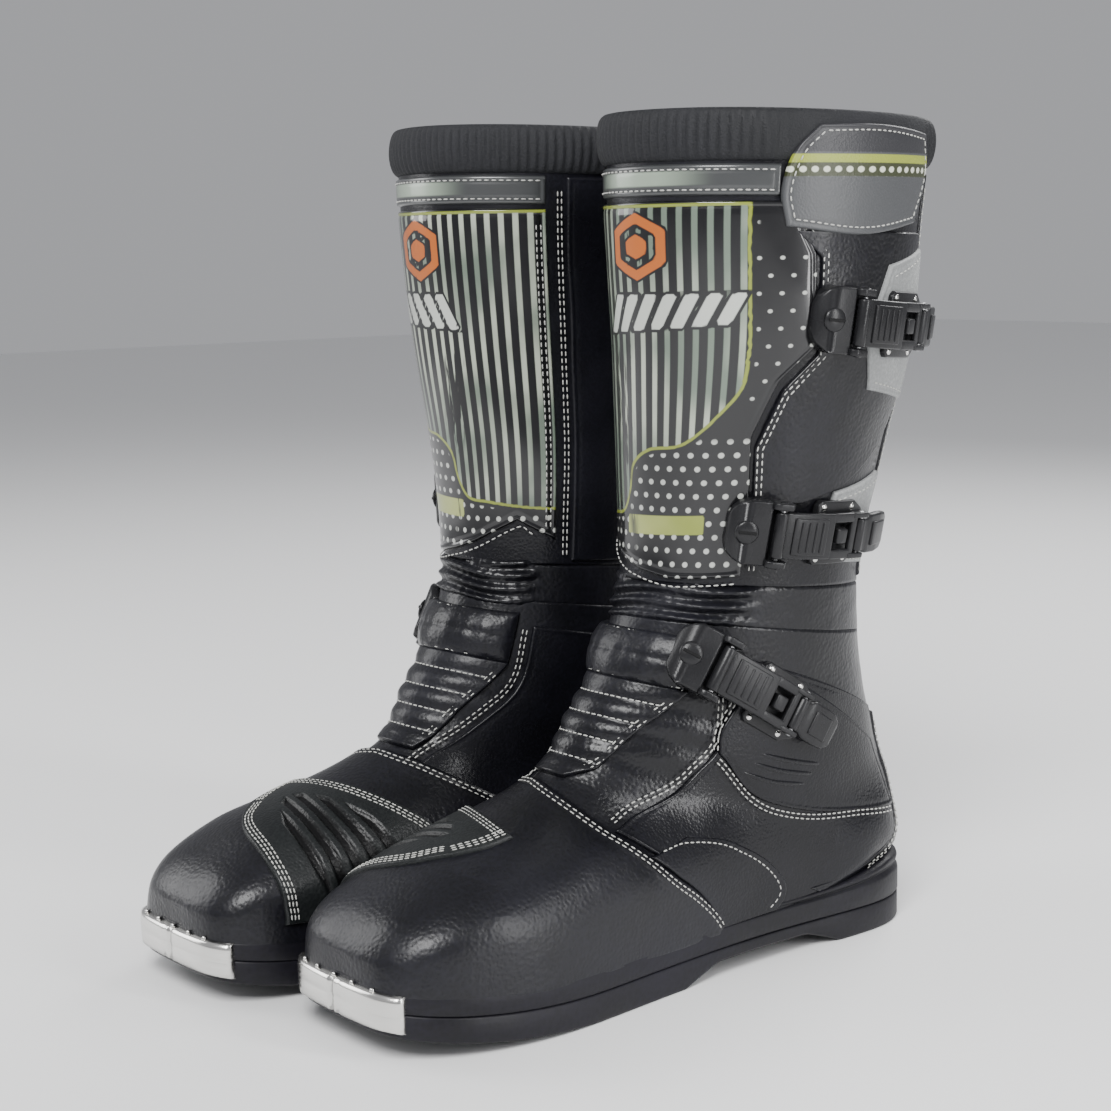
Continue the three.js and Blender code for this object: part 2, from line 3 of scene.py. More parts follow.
import bmesh
import bpy
import mathutils
import numpy as np
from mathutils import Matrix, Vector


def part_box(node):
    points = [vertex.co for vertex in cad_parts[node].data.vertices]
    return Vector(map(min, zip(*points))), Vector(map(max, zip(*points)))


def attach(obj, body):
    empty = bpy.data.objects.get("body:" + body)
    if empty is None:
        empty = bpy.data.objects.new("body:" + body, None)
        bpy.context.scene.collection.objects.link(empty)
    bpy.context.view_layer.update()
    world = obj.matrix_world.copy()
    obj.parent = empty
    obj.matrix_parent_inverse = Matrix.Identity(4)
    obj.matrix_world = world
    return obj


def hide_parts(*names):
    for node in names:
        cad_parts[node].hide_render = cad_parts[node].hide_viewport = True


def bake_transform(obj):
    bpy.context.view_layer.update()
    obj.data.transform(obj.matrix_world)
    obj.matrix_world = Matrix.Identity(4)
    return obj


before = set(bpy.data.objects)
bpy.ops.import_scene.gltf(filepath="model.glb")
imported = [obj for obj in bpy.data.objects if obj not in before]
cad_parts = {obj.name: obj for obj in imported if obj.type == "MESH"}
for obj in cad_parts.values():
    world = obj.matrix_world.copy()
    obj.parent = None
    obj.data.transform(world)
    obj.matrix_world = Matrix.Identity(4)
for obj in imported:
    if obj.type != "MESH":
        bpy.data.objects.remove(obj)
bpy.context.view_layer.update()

# the skin of the boot, in mm

# front y, front z, back y, back z, lateral half width, medial half width, middle x
sections = np.array([
    [-72, 412, 92, 408, 67, 57, 10],
    [-71, 372, 89, 368, 65, 55, 10],
    [-70, 330, 85, 326, 63, 53, 9],
    [-66, 280, 81, 275, 60, 50, 7],
    [-62, 231, 72, 225, 53, 47, 3],
    [-60, 195, 64, 187, 48, 44, 1],
    [-62, 170, 64, 158, 46, 43, 0],
    [-69, 150, 70, 122, 44, 43, -1],
    [-79, 132, 80, 88, 43, 42, -2],
    [-92, 116, 89, 58, 42, 41, -3],
    [-103, 99, 78, 28, 40, 40, -4],
    [-119, 89, 24, 17, 41, 41, -4],
    [-140, 81, -59, 15, 46, 44, -4],
    [-161, 75, -119, 15, 49, 45, -3],
    [-183, 68, -159, 18, 49, 44, -1],
    [-201, 57, -192, 24, 42, 39, -1],
    [-212, 45, -210, 31, 28, 28, -2],
    [-217, 40, -216, 37, 11, 11, -2]], float)
lastStation = len(sections) - 2.0

pair = {"spacing": 108.0, "stepForward": 20.0, "turn": 1.2}
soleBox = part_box("left_outsole")
pairShift = np.array([soleBox[1][0] * 1000 - 53, soleBox[1][1] * 1000 - 96, 0.0])


def splineRows(rows, t):
    # Catmull-Rom curve through the rows: cubic Hermite with tangents of half the neighbours' distance
    n = len(rows)
    t = np.clip(t, 0, n - 1 - 1e-9)
    i = t.astype(int)
    f = (t - i)[..., None]
    a, b = rows[i], rows[np.minimum(i + 1, n - 1)]
    before = np.where((i > 0)[..., None], rows[np.maximum(i - 1, 0)], 2 * a - b)
    after = np.where((i < n - 2)[..., None], rows[np.minimum(i + 2, n - 1)], 2 * b - a)
    ta, tb = (b - before) / 2, (after - a) / 2
    return ((2 * f ** 3 - 3 * f ** 2 + 1) * a + (f ** 3 - 2 * f ** 2 + f) * ta
            + (3 * f ** 2 - 2 * f ** 3) * b + (f ** 3 - f ** 2) * tb)


# the sole seen from above: y, lateral edge, medial edge
outline = np.array([[-221, 21, -23], [-217, 33, -34], [-207, 42, -42], [-190, 49, -47],
                    [-165, 53, -50], [-140, 53, -51], [-115, 50, -50], [-85, 46, -48],
                    [-50, 42, -46], [-20, 40, -43], [10, 40, -41], [40, 41, -40],
                    [61, 39, -38], [76, 32, -32], [85, 21, -22], [88, 10, -12]], float)
sole = {"toeSpring": 12.0, "toeThin": 0.22, "arch": 7.0, "waistFront": -70.0, "heelBreast": 28.0,
        "heelCup": 6.0}


def soleRing(inset, count=260):
    # the sole's outline as a closed ring of (x, y), drawn in by inset
    y, lateral, medial = outline.T
    ring = np.concatenate([np.stack([lateral, y], -1), np.stack([medial[::-1], y[::-1]], -1)])
    closed = np.concatenate([ring, ring[:1]])
    for _ in range(3):
        quarter = np.stack([0.75 * closed[:-1] + 0.25 * closed[1:], 0.25 * closed[:-1] + 0.75 * closed[1:]],
                           1).reshape(-1, 2)
        closed = np.concatenate([quarter, quarter[:1]])
    length = np.concatenate([[0], np.cumsum(np.linalg.norm(np.diff(closed, axis=0), axis=1))])
    at = np.linspace(0, length[-1], count, endpoint=False)
    ring = np.stack([np.interp(at, length, closed[:, k]) for k in range(2)], -1)
    ahead = np.roll(ring, -1, 0) - np.roll(ring, 1, 0)
    ahead /= np.linalg.norm(ahead, axis=1, keepdims=True)
    inward = np.stack([-ahead[:, 1], ahead[:, 0]], -1)
    centre = ring.mean(0)
    if ((centre - ring) * inward).sum() < 0:
        inward = -inward
    return ring + inward * inset, inward


denseRing = soleRing(0.0, 1440)[0]
pivots = {"x": -1.0, "front": -165.0, "back": 54.0}


def reachTable(pivotY, forward):
    # distance from a pivot to the sole's outline for each direction of a half turn
    way = denseRing - np.array([pivots["x"], pivotY])
    degrees = np.degrees(np.arctan2(way[:, 0], -way[:, 1] if forward else way[:, 1]))
    keep = np.abs(degrees) <= 92
    order = np.argsort(degrees[keep])
    return degrees[keep][order], np.linalg.norm(way, axis=1)[keep][order]


frontReach, backReach = reachTable(pivots["front"], True), reachTable(pivots["back"], False)
lateralSide = denseRing[denseRing[:, 0] > 15]
medialSide = denseRing[denseRing[:, 0] < -15]
lateralSide, medialSide = (part[np.argsort(part[:, 1])] for part in (lateralSide, medialSide))


def meetSole(p):
    # low down the upper spreads out to the sole's edge: fully near the welt, fading out some 40 mm higher
    x, y, z = p[..., 0], p[..., 1], p[..., 2]
    dx = x - pivots["x"]
    dy = y - np.clip(y, pivots["front"], pivots["back"])
    r = np.maximum(np.hypot(dx, dy), 1e-6)
    turn = np.degrees(np.arctan2(dx, np.abs(dy)))
    side = np.where(dx > 0, np.interp(y, lateralSide[:, 1], lateralSide[:, 0]) - pivots["x"],
                    pivots["x"] - np.interp(y, medialSide[:, 1], medialSide[:, 0]))
    reach = np.where(dy < 0, np.interp(turn, *frontReach),
                     np.where(dy > 0, np.interp(turn, *backReach), side)) - 1.5
    ahead = np.clip((-120 - y) / 60, 0, 1)
    t = np.clip((82 - 18 * ahead - z) / (40 - 4 * ahead), 0, 1)
    share = t * t * (3 - 2 * t)
    q = np.clip((r / reach - 0.4) / 0.35, 0, 1)
    share = share * q * q * (3 - 2 * q)
    grow = 1 + share * (np.maximum(reach, r) / r - 1)
    return np.stack([pivots["x"] + dx * grow, y + dy * (grow - 1), z], -1)


def skinPoint(station, degrees):
    # squared ellipse across each section, its axis running from the front line to the back line;
    # past the last section the ring shrinks to a point at the nose
    angle = np.radians(degrees)
    row = splineRows(sections, np.minimum(station, lastStation) + 1)
    shrink = np.clip(lastStation + 1 - station, 0, 1)
    foot = np.clip((station - 8.5) / 2.5, 0, 1)
    c, s = np.cos(angle), np.sin(angle)
    square = np.where(c >= 0, 2.1, 2.1 + 1.1 * foot)
    lengthwise = np.sign(c) * np.abs(c) ** (2 / square) * shrink
    across = np.sign(s) * np.abs(s) ** (2 / square) * shrink
    half = np.where(s >= 0, row[..., 4], row[..., 5])
    return meetSole(np.stack([row[..., 6] + half * across,
                              (row[..., 0] + row[..., 2]) / 2 + (row[..., 0] - row[..., 2]) / 2
                              * lengthwise,
                              (row[..., 1] + row[..., 3]) / 2 + (row[..., 1] - row[..., 3]) / 2
                              * lengthwise], -1))


def unit(v):
    return v / np.maximum(np.linalg.norm(v, axis=-1, keepdims=True), 1e-9)


def skinNormal(station, degrees):
    low, high = np.maximum(station - 0.02, -1), np.minimum(station + 0.02, lastStation + 0.99)
    down = skinPoint(high, degrees) - skinPoint(low, degrees)
    around = skinPoint(station, degrees + 1.2) - skinPoint(station, degrees - 1.2)
    return unit(np.cross(down, around))


def skin(station, degrees, off):
    return skinPoint(station, degrees) + skinNormal(station, degrees) * np.asarray(off)[..., None]


def toWorld(points, side):
    # mm of the left boot's own frame into metres of the pair; the right boot is mirrored, turned
    # and set beside it
    p = np.array(points, float)
    if side < 0:
        p[..., 0] *= -1
        c, s = math.cos(math.radians(pair["turn"])), math.sin(math.radians(pair["turn"]))
        p[..., 0], p[..., 1] = p[..., 0] * c - p[..., 1] * s, p[..., 0] * s + p[..., 1] * c
        p[..., 0] -= pair["spacing"]
        p[..., 1] -= pair["stepForward"]
    return (p + pairShift) / 1000


def bootName(side):
    return "left" if side > 0 else "right"


# mesh helpers

def gridQuads(rows, columns, wrap=False, start=0):
    # quads of a rows x columns grid of points, the last column joined to the first when wrapped
    i = np.arange(rows - 1)[:, None]
    j = np.arange(columns if wrap else columns - 1)[None, :]
    nextJ = (j + 1) % columns
    a, b = i * columns + j, i * columns + nextJ
    return np.stack([a, b, b + columns, a + columns], -1).reshape(-1, 4) + start


def closedVolume(points, faces):
    total = 0.0
    for f in faces:
        a = points[f[:, 0]]
        for k in range(1, f.shape[1] - 1):
            total += np.einsum("ij,ij->i", a, np.cross(points[f[:, k]], points[f[:, k + 1]])).sum()
    return total


def addMesh(name, side, points, faces, material, fields=None, second=None):
    # points in mm, faces a list of index arrays; the faces are turned out by the sign of the volume
    faces = [f for f in faces if len(f)]
    points = np.asarray(points, float).reshape(-1, 3)
    flip = closedVolume(points, faces) < 0
    world = toWorld(points, side)
    if flip != (side < 0):
        faces = [f[:, ::-1] for f in faces]
    mesh = bpy.data.meshes.new(name)
    mesh.vertices.add(len(world))
    mesh.vertices.foreach_set("co", world.ravel())
    loops = np.concatenate([f.ravel() for f in faces])
    sizes = np.concatenate([np.full(len(f), f.shape[1]) for f in faces])
    mesh.loops.add(len(loops))
    mesh.loops.foreach_set("vertex_index", loops.astype(np.int32))
    mesh.polygons.add(len(sizes))
    mesh.polygons.foreach_set("loop_start", np.concatenate([[0], np.cumsum(sizes)[:-1]]).astype(np.int32))
    mesh.update(calc_edges=True)
    mesh.polygons.foreach_set("use_smooth", np.ones(len(sizes), bool))
    for key, values in (fields or {}).items():
        mesh.attributes.new(key, "FLOAT", "POINT").data.foreach_set("value",
                np.asarray(values, np.float32).ravel())
    mesh.validate()
    piece = bpy.data.objects.new(name, mesh)
    bpy.context.scene.collection.objects.link(piece)
    mesh.materials.append(material)
    if second is not None:
        mesh.materials.append(second[0])
        mesh.polygons.foreach_set("material_index", second[1].astype(np.int32))
    return piece


def shell(top, bottom, wrap=False):
    # closed shell of two grids with the same rows and columns, walls along the open sides
    rows, columns = top.shape[:2]
    half = rows * columns
    points = np.concatenate([top.reshape(-1, 3), bottom.reshape(-1, 3)])
    quads = [gridQuads(rows, columns, wrap), gridQuads(rows, columns, wrap, half)[:, ::-1]]
    j = np.arange(columns if wrap else columns - 1)
    nextJ = (j + 1) % columns
    last = (rows - 1) * columns
    quads.append(np.stack([j, j + half, nextJ + half, nextJ], -1))
    quads.append(np.stack([last + j, last + nextJ, last + nextJ + half, last + j + half], -1))
    if not wrap:
        i = np.arange(rows - 1) * columns
        quads.append(np.stack([i, i + columns, i + columns + half, i + half], -1))
        e = i + columns - 1
        quads.append(np.stack([e, e + half, e + columns + half, e + columns], -1))
    return points, np.concatenate(quads)


def capTriangles(ring, centre, flip=False):
    ring = np.asarray(ring)
    tri = np.stack([ring, np.roll(ring, -1), np.full(len(ring), centre)], -1)
    return tri[:, ::-1] if flip else tri


def joinParts(parts):
    # several (points, faces) parts as one
    points, faces, base = [], [], 0
    for p, fs in parts:
        points.append(np.asarray(p).reshape(-1, 3))
        faces += [f + base for f in fs]
        base += len(points[-1])
    return np.concatenate(points), faces


def wobble(p, size, seed):
    # smooth unevenness of leather: a sum of slow waves in three directions
    rng = np.random.default_rng(seed)
    total = np.zeros(p.shape[:-1])
    for k in range(5):
        direction = unit(rng.normal(size=3))
        total += (np.sin((p @ direction) / size * (1 + 0.5 * k) * 2 * math.pi + rng.uniform(0, 6.28))
                  / (1 + 0.6 * k))
    return total / 2.4


# materials

def addNode(tree, kind, **settings):
    made = tree.nodes.new(kind)
    for key, value in settings.items():
        setattr(made, key, value)
    return made


def mathNode(tree, operation, a, b=None, c=None):
    made = addNode(tree, "ShaderNodeMath", operation=operation)
    for i, value in enumerate((a, b, c)):
        if value is None:
            continue
        if isinstance(value, (int, float)):
            made.inputs[i].default_value = value
        else:
            tree.links.new(value, made.inputs[i])
    return made.outputs[0]


def smoothMask(tree, value, low, high):
    made = addNode(tree, "ShaderNodeMapRange", interpolation_type="SMOOTHSTEP")
    tree.links.new(value, made.inputs["Value"])
    made.inputs["From Min"].default_value, made.inputs["From Max"].default_value = low, high
    return made.outputs["Result"]


def mixColor(tree, factor, a, b):
    made = addNode(tree, "ShaderNodeMix", data_type="RGBA")
    for index, value in ((0, factor), (6, a), (7, b)):
        if isinstance(value, (int, float)):
            made.inputs[index].default_value = value
        elif isinstance(value, tuple):
            made.inputs[index].default_value = (*value, 1.0) if len(value) == 3 else value
        else:
            tree.links.new(value, made.inputs[index])
    return made.outputs[2]


def newGroup(name, inputs, outputs):
    group = bpy.data.node_groups.new(name, "ShaderNodeTree")
    for label, kind, value in inputs:
        made = group.interface.new_socket(name=label, in_out="INPUT", socket_type=kind)
        if value is not None:
            made.default_value = value
    for label, kind in outputs:
        group.interface.new_socket(name=label, in_out="OUTPUT", socket_type=kind)
    return group, addNode(group, "NodeGroupInput"), addNode(group, "NodeGroupOutput")


def makeGrainGroup():
    # leather grain: cells of the hide, fine creases, broad tone changes
    group, enter, leave = newGroup("hideGrain", [
        ("Cell Scale", "NodeSocketFloat", 850.0), ("Crease Scale", "NodeSocketFloat", 90.0),
        ("Dark", "NodeSocketColor", (0.015, 0.015, 0.018, 1)),
        ("Light", "NodeSocketColor", (0.03, 0.03, 0.036, 1)),
        ("Rough Low", "NodeSocketFloat", 0.36), ("Rough High", "NodeSocketFloat", 0.52)],
        [("Color", "NodeSocketColor"), ("Roughness", "NodeSocketFloat"), ("Height", "NodeSocketFloat")])
    coords = addNode(group, "ShaderNodeTexCoord")
    cells = addNode(group, "ShaderNodeTexVoronoi", feature="SMOOTH_F1")
    group.links.new(coords.outputs["Object"], cells.inputs["Vector"])
    group.links.new(enter.outputs["Cell Scale"], cells.inputs["Scale"])
    crease = addNode(group, "ShaderNodeTexNoise")
    crease.inputs["Detail"].default_value = 6.0
    crease.inputs["Distortion"].default_value = 0.6
    group.links.new(coords.outputs["Object"], crease.inputs["Vector"])
    group.links.new(enter.outputs["Crease Scale"], crease.inputs["Scale"])
    broad = addNode(group, "ShaderNodeTexNoise")
    broad.inputs["Scale"].default_value = 16.0
    broad.inputs["Detail"].default_value = 3.0
    group.links.new(coords.outputs["Object"], broad.inputs["Vector"])
    height = mathNode(group, "ADD", mathNode(group, "MULTIPLY", cells.outputs["Distance"], 0.7),
                      mathNode(group, "MULTIPLY", crease.outputs["Fac"], 0.8))
    tone = mathNode(group, "ADD", mathNode(group, "MULTIPLY", broad.outputs["Fac"], 0.7),
                    mathNode(group, "MULTIPLY", cells.outputs["Distance"], 0.3))
    group.links.new(mixColor(group, smoothMask(group, tone, 0.3, 0.75), enter.outputs["Dark"],
                             enter.outputs["Light"]),
                    leave.inputs["Color"])
    rough = addNode(group, "ShaderNodeMix", data_type="FLOAT")
    group.links.new(smoothMask(group, broad.outputs["Fac"], 0.35, 0.65), rough.inputs[0])
    group.links.new(enter.outputs["Rough Low"], rough.inputs[2])
    group.links.new(enter.outputs["Rough High"], rough.inputs[3])
    group.links.new(rough.outputs[0], leave.inputs["Roughness"])
    group.links.new(height, leave.inputs["Height"])
    return group


grainGroup = makeGrainGroup()


def newMaterial(name):
    made = bpy.data.materials.new(name)
    made.use_nodes = True
    tree = made.node_tree
    return made, tree, tree.nodes["Principled BSDF"]


def bumpInto(tree, shader, height, strength, distance):
    bump = addNode(tree, "ShaderNodeBump")
    bump.inputs["Strength"].default_value = strength
    bump.inputs["Distance"].default_value = distance
    tree.links.new(height, bump.inputs["Height"])
    tree.links.new(bump.outputs["Normal"], shader.inputs["Normal"])


def hideMaterial(name, dark, light, roughLow, roughHigh, strength=0.35, cell=850.0, crease=90.0, coat=0.0):
    made, tree, shader = newMaterial(name)
    grain = addNode(tree, "ShaderNodeGroup", node_tree=grainGroup)
    grain.inputs["Cell Scale"].default_value = cell
    grain.inputs["Crease Scale"].default_value = crease
    grain.inputs["Dark"].default_value = (*dark, 1)
    grain.inputs["Light"].default_value = (*light, 1)
    grain.inputs["Rough Low"].default_value = roughLow
    grain.inputs["Rough High"].default_value = roughHigh
    tree.links.new(grain.outputs["Color"], shader.inputs["Base Color"])
    tree.links.new(grain.outputs["Roughness"], shader.inputs["Roughness"])
    bumpInto(tree, shader, grain.outputs["Height"], strength, 0.0006)
    shader.inputs["Coat Weight"].default_value = coat
    shader.inputs["Specular IOR Level"].default_value = 0.28
    shader.inputs["Coat Roughness"].default_value = 0.25
    return made


def weaveMaterial(name, dark, light, pitch):
    # woven cloth: two crossing rows of threads
    made, tree, shader = newMaterial(name)
    coords = addNode(tree, "ShaderNodeTexCoord")
    waves = []
    for direction in ("X", "Z"):
        wave = addNode(tree, "ShaderNodeTexWave", bands_direction=direction)
        wave.inputs["Scale"].default_value = pitch
        wave.inputs["Distortion"].default_value = 0.4
        tree.links.new(coords.outputs["Object"], wave.inputs["Vector"])
        waves.append(wave.outputs["Fac"])
    weave = mathNode(tree, "MAXIMUM", waves[0], waves[1])
    tree.links.new(mixColor(tree, weave, dark, light), shader.inputs["Base Color"])
    shader.inputs["Roughness"].default_value = 0.85
    shader.inputs["Sheen Weight"].default_value = 0.15
    bumpInto(tree, shader, weave, 0.5, 0.0004)
    return made


leather = hideMaterial("blackLeather", (0.0035, 0.0035, 0.0048), (0.009, 0.009, 0.0135), 0.27, 0.4,
                       coat=0.04)
softLeather = hideMaterial("softLeather", (0.004, 0.004, 0.0052), (0.0095, 0.0095, 0.014), 0.28, 0.42, 0.5,
                           600.0, 60.0, 0.1)
# painted shade: near-black grained material for the raised bar that stands in for the shaded slot across
# each buckle screw's head
paintedSlotShade = hideMaterial("paintedSlotShade", (0.0015, 0.0015, 0.0018), (0.003, 0.003, 0.0036), 0.7, 0.9)
rimFabric = hideMaterial("rimCloth", (0.009, 0.0095, 0.011), (0.019, 0.0195, 0.0225), 0.6, 0.75, 0.6,
                         1400.0, 220.0)
patchLeather = hideMaterial("greyPatch", (0.2, 0.205, 0.205), (0.36, 0.37, 0.365), 0.45, 0.62)
rubber = hideMaterial("soleRubber", (0.0038, 0.0036, 0.0052), (0.0088, 0.008, 0.0135), 0.38, 0.55, 0.2,
                      500.0, 40.0)
plastic = hideMaterial("bucklePlastic", (0.0095, 0.0095, 0.0105), (0.0185, 0.0185, 0.0205), 0.26, 0.4, 0.12,
                       1600.0, 120.0)
lining = weaveMaterial("lining", (0.02, 0.02, 0.022), (0.05, 0.05, 0.055), 420.0)


def padMaterial():
    # the same leather, dull and darker in the slots given by the piece's slot field
    made = hideMaterial("padLeather", (0.006, 0.007, 0.0075), (0.016, 0.018, 0.018), 0.34, 0.48, 0.4)
    tree = made.node_tree
    shader = tree.nodes["Principled BSDF"]
    mask = addNode(tree, "ShaderNodeAttribute", attribute_name="slotMask").outputs["Fac"]
    source = shader.inputs["Base Color"].links[0].from_socket
    tree.links.new(mixColor(tree, mask, source, (0.001, 0.001, 0.0012)), shader.inputs["Base Color"])
    return made


padLeather = padMaterial()


def threadMaterial(name, dark, light):
    # twisted thread: fine slanted bands
    made, tree, shader = newMaterial(name)
    coords = addNode(tree, "ShaderNodeTexCoord")
    wave = addNode(tree, "ShaderNodeTexWave", bands_direction="DIAGONAL")
    wave.inputs["Scale"].default_value = 900.0
    tree.links.new(coords.outputs["Object"], wave.inputs["Vector"])
    tree.links.new(mixColor(tree, wave.outputs["Fac"], dark, light), shader.inputs["Base Color"])
    shader.inputs["Roughness"].default_value = 0.6
    return made


thread = threadMaterial("paleThread", (0.32, 0.32, 0.3), (0.54, 0.54, 0.51))


def metalMaterial(name, color, low, high, scratch):
    # polished metal: streaks along one way and small scuffs change the roughness
    made, tree, shader = newMaterial(name)
    coords = addNode(tree, "ShaderNodeTexCoord")
    stretch = addNode(tree, "ShaderNodeMapping")
    stretch.inputs["Scale"].default_value = (30, 30, scratch)
    tree.links.new(coords.outputs["Object"], stretch.inputs["Vector"])
    streak = addNode(tree, "ShaderNodeTexNoise")
    streak.inputs["Scale"].default_value = 3.0
    streak.inputs["Detail"].default_value = 5.0
    tree.links.new(stretch.outputs["Vector"], streak.inputs["Vector"])
    rough = addNode(tree, "ShaderNodeMapRange")
    tree.links.new(streak.outputs["Fac"], rough.inputs["Value"])
    rough.inputs["To Min"].default_value, rough.inputs["To Max"].default_value = low, high
    tree.links.new(rough.outputs["Result"], shader.inputs["Roughness"])
    shade = tuple(v * 0.8 for v in color)
    tree.links.new(mixColor(tree, streak.outputs["Fac"], shade, color), shader.inputs["Base Color"])
    shader.inputs["Metallic"].default_value = 1.0
    bumpInto(tree, shader, streak.outputs["Fac"], 0.08, 0.0003)
    return made


nickel = metalMaterial("nickelPlate", (0.78, 0.77, 0.74), 0.12, 0.34, 900.0)
steel = metalMaterial("pinSteel", (0.5, 0.5, 0.51), 0.25, 0.45, 300.0)


def attributeValue(tree, name):
    return addNode(tree, "ShaderNodeAttribute", attribute_name=name).outputs["Fac"]


def stripeMask(tree, across, pitch, width, blur):
    # 1 on a stripe: distance from the nearest stripe's middle line, in the same unit as the pitch
    wrapped = mathNode(tree, "PINGPONG", mathNode(tree, "ADD", across, pitch * 100), pitch / 2)
    return smoothMask(tree, wrapped, width / 2 + blur, width / 2 - blur)


def dotMask(tree, across, up, pitch, radius, stagger=True):
    # 1 inside round dots on a square grid, every second row moved by half a pitch when staggered
    row = mathNode(tree, "FLOOR", mathNode(tree, "DIVIDE", up, pitch))
    half = mathNode(tree, "MULTIPLY", mathNode(tree, "PINGPONG", row, 1.0), pitch / 2 if stagger else 0.0)
    x = mathNode(tree, "SUBTRACT", mathNode(tree, "MODULO",
            mathNode(tree, "ADD", mathNode(tree, "ADD", across, pitch * 100), half), pitch), pitch / 2)
    y = mathNode(tree, "SUBTRACT", mathNode(tree, "MODULO", mathNode(tree, "ADD", up, pitch * 100), pitch),
                 pitch / 2)
    far = mathNode(tree, "SQRT", mathNode(tree, "ADD", mathNode(tree, "MULTIPLY", x, x),
                                          mathNode(tree, "MULTIPLY", y, y)))
    return smoothMask(tree, far, radius + 0.25, radius - 0.25)


def printMaterial():
    # glossy printed panel: black ground, pale upright stripes inside a lime line, dots outside it,
    # a row of slanted bars, an orange badge, a lime sash; all placed by mm fields on the piece
    made, tree, shader = newMaterial("printedPanel")
    across, up = attributeValue(tree, "acrossMm"), attributeValue(tree, "heightMm")
    inside = attributeValue(tree, "insideMm")
    sash = attributeValue(tree, "sashMm")
    badge = attributeValue(tree, "badgeMm")
    bars = attributeValue(tree, "barsMm")
    scuff = attributeValue(tree, "scuffMm")
    black, cream, green = (0.003, 0.003, 0.004), (0.36, 0.39, 0.32), (0.12, 0.155, 0.12)
    lime, orange = (0.2, 0.235, 0.028), (0.4, 0.1, 0.014)
    inMask = smoothMask(tree, inside, 0.3, 0.8)
    stripe = mathNode(tree, "MULTIPLY", stripeMask(tree, across, 5.4, 2.15, 0.25), inMask)
    fade = addNode(tree, "ShaderNodeTexNoise")
    fade.inputs["Scale"].default_value = 22.0
    coords = addNode(tree, "ShaderNodeTexCoord")
    tree.links.new(coords.outputs["Object"], fade.inputs["Vector"])
    tone = mixColor(tree, smoothMask(tree, fade.outputs["Fac"], 0.4, 0.62), green, cream)
    color = mixColor(tree, stripe, black, tone)
    nearLine = mathNode(tree, "MAXIMUM", mathNode(tree, "MINIMUM", inside, 3.0), -3.0)
    edge = stripeMask(tree, nearLine, 20.0, 1.3, 0.3)
    color = mixColor(tree, edge, color, lime)
    outside = smoothMask(tree, inside, -2.0, -2.8)
    lowDots = mathNode(tree, "MULTIPLY", dotMask(tree, across, up, 6.0, 1.2),
                       smoothMask(tree, up, 240.0, 236.0))
    highDots = mathNode(tree, "MULTIPLY", dotMask(tree, across, up, 7.4, 0.8),
                        mathNode(tree, "MULTIPLY", smoothMask(tree, up, 252.0, 256.0),
                                 smoothMask(tree, fade.outputs["Fac"], 0.44, 0.46)))
    dots = mathNode(tree, "MULTIPLY", mathNode(tree, "MAXIMUM", lowDots, highDots), outside)
    color = mixColor(tree, dots, color, (0.42, 0.43, 0.4))
    sashColor = mixColor(tree, smoothMask(tree, fade.outputs["Fac"], 0.35, 0.6), lime, (0.3, 0.33, 0.1))
    color = mixColor(tree, smoothMask(tree, sash, 0.3, -0.3), color, sashColor)
    streak = addNode(tree, "ShaderNodeTexNoise")
    streak.inputs["Scale"].default_value = 9.0
    streak.inputs["Detail"].default_value = 4.0
    tilt = addNode(tree, "ShaderNodeMapping")
    tilt.inputs["Rotation"].default_value = (0.0, 0.7, 0.0)
    tilt.inputs["Scale"].default_value = (60.0, 6.0, 6.0)
    tree.links.new(coords.outputs["Object"], tilt.inputs["Vector"])
    tree.links.new(tilt.outputs["Vector"], streak.inputs["Vector"])
    feather = mathNode(tree, "MULTIPLY", smoothMask(tree, scuff, 1.5, -4.0),
                       smoothMask(tree, streak.outputs["Fac"], 0.46, 0.54))
    color = mixColor(tree, feather, color, black)
    color = mixColor(tree, smoothMask(tree, bars, 1.5, 1.0), color, black)
    color = mixColor(tree, smoothMask(tree, bars, 0.3, -0.3), color, (0.44, 0.46, 0.42))
    color = mixColor(tree, smoothMask(tree, badge, 1.2, 0.8), color, black)
    color = mixColor(tree, smoothMask(tree, badge, 0.3, -0.3), color, orange)
    tree.links.new(color, shader.inputs["Base Color"])
    shader.inputs["Roughness"].default_value = 0.3
    shader.inputs["Specular IOR Level"].default_value = 0.25
    shader.inputs["Coat Weight"].default_value = 0.75
    shader.inputs["Coat Roughness"].default_value = 0.05
    ripple = addNode(tree, "ShaderNodeTexNoise")
    ripple.inputs["Scale"].default_value = 45.0
    ripple.inputs["Detail"].default_value = 2.0
    tree.links.new(coords.outputs["Object"], ripple.inputs["Vector"])
    bumpInto(tree, shader, ripple.outputs["Fac"], 0.25, 0.0012)
    return made


printed = printMaterial()


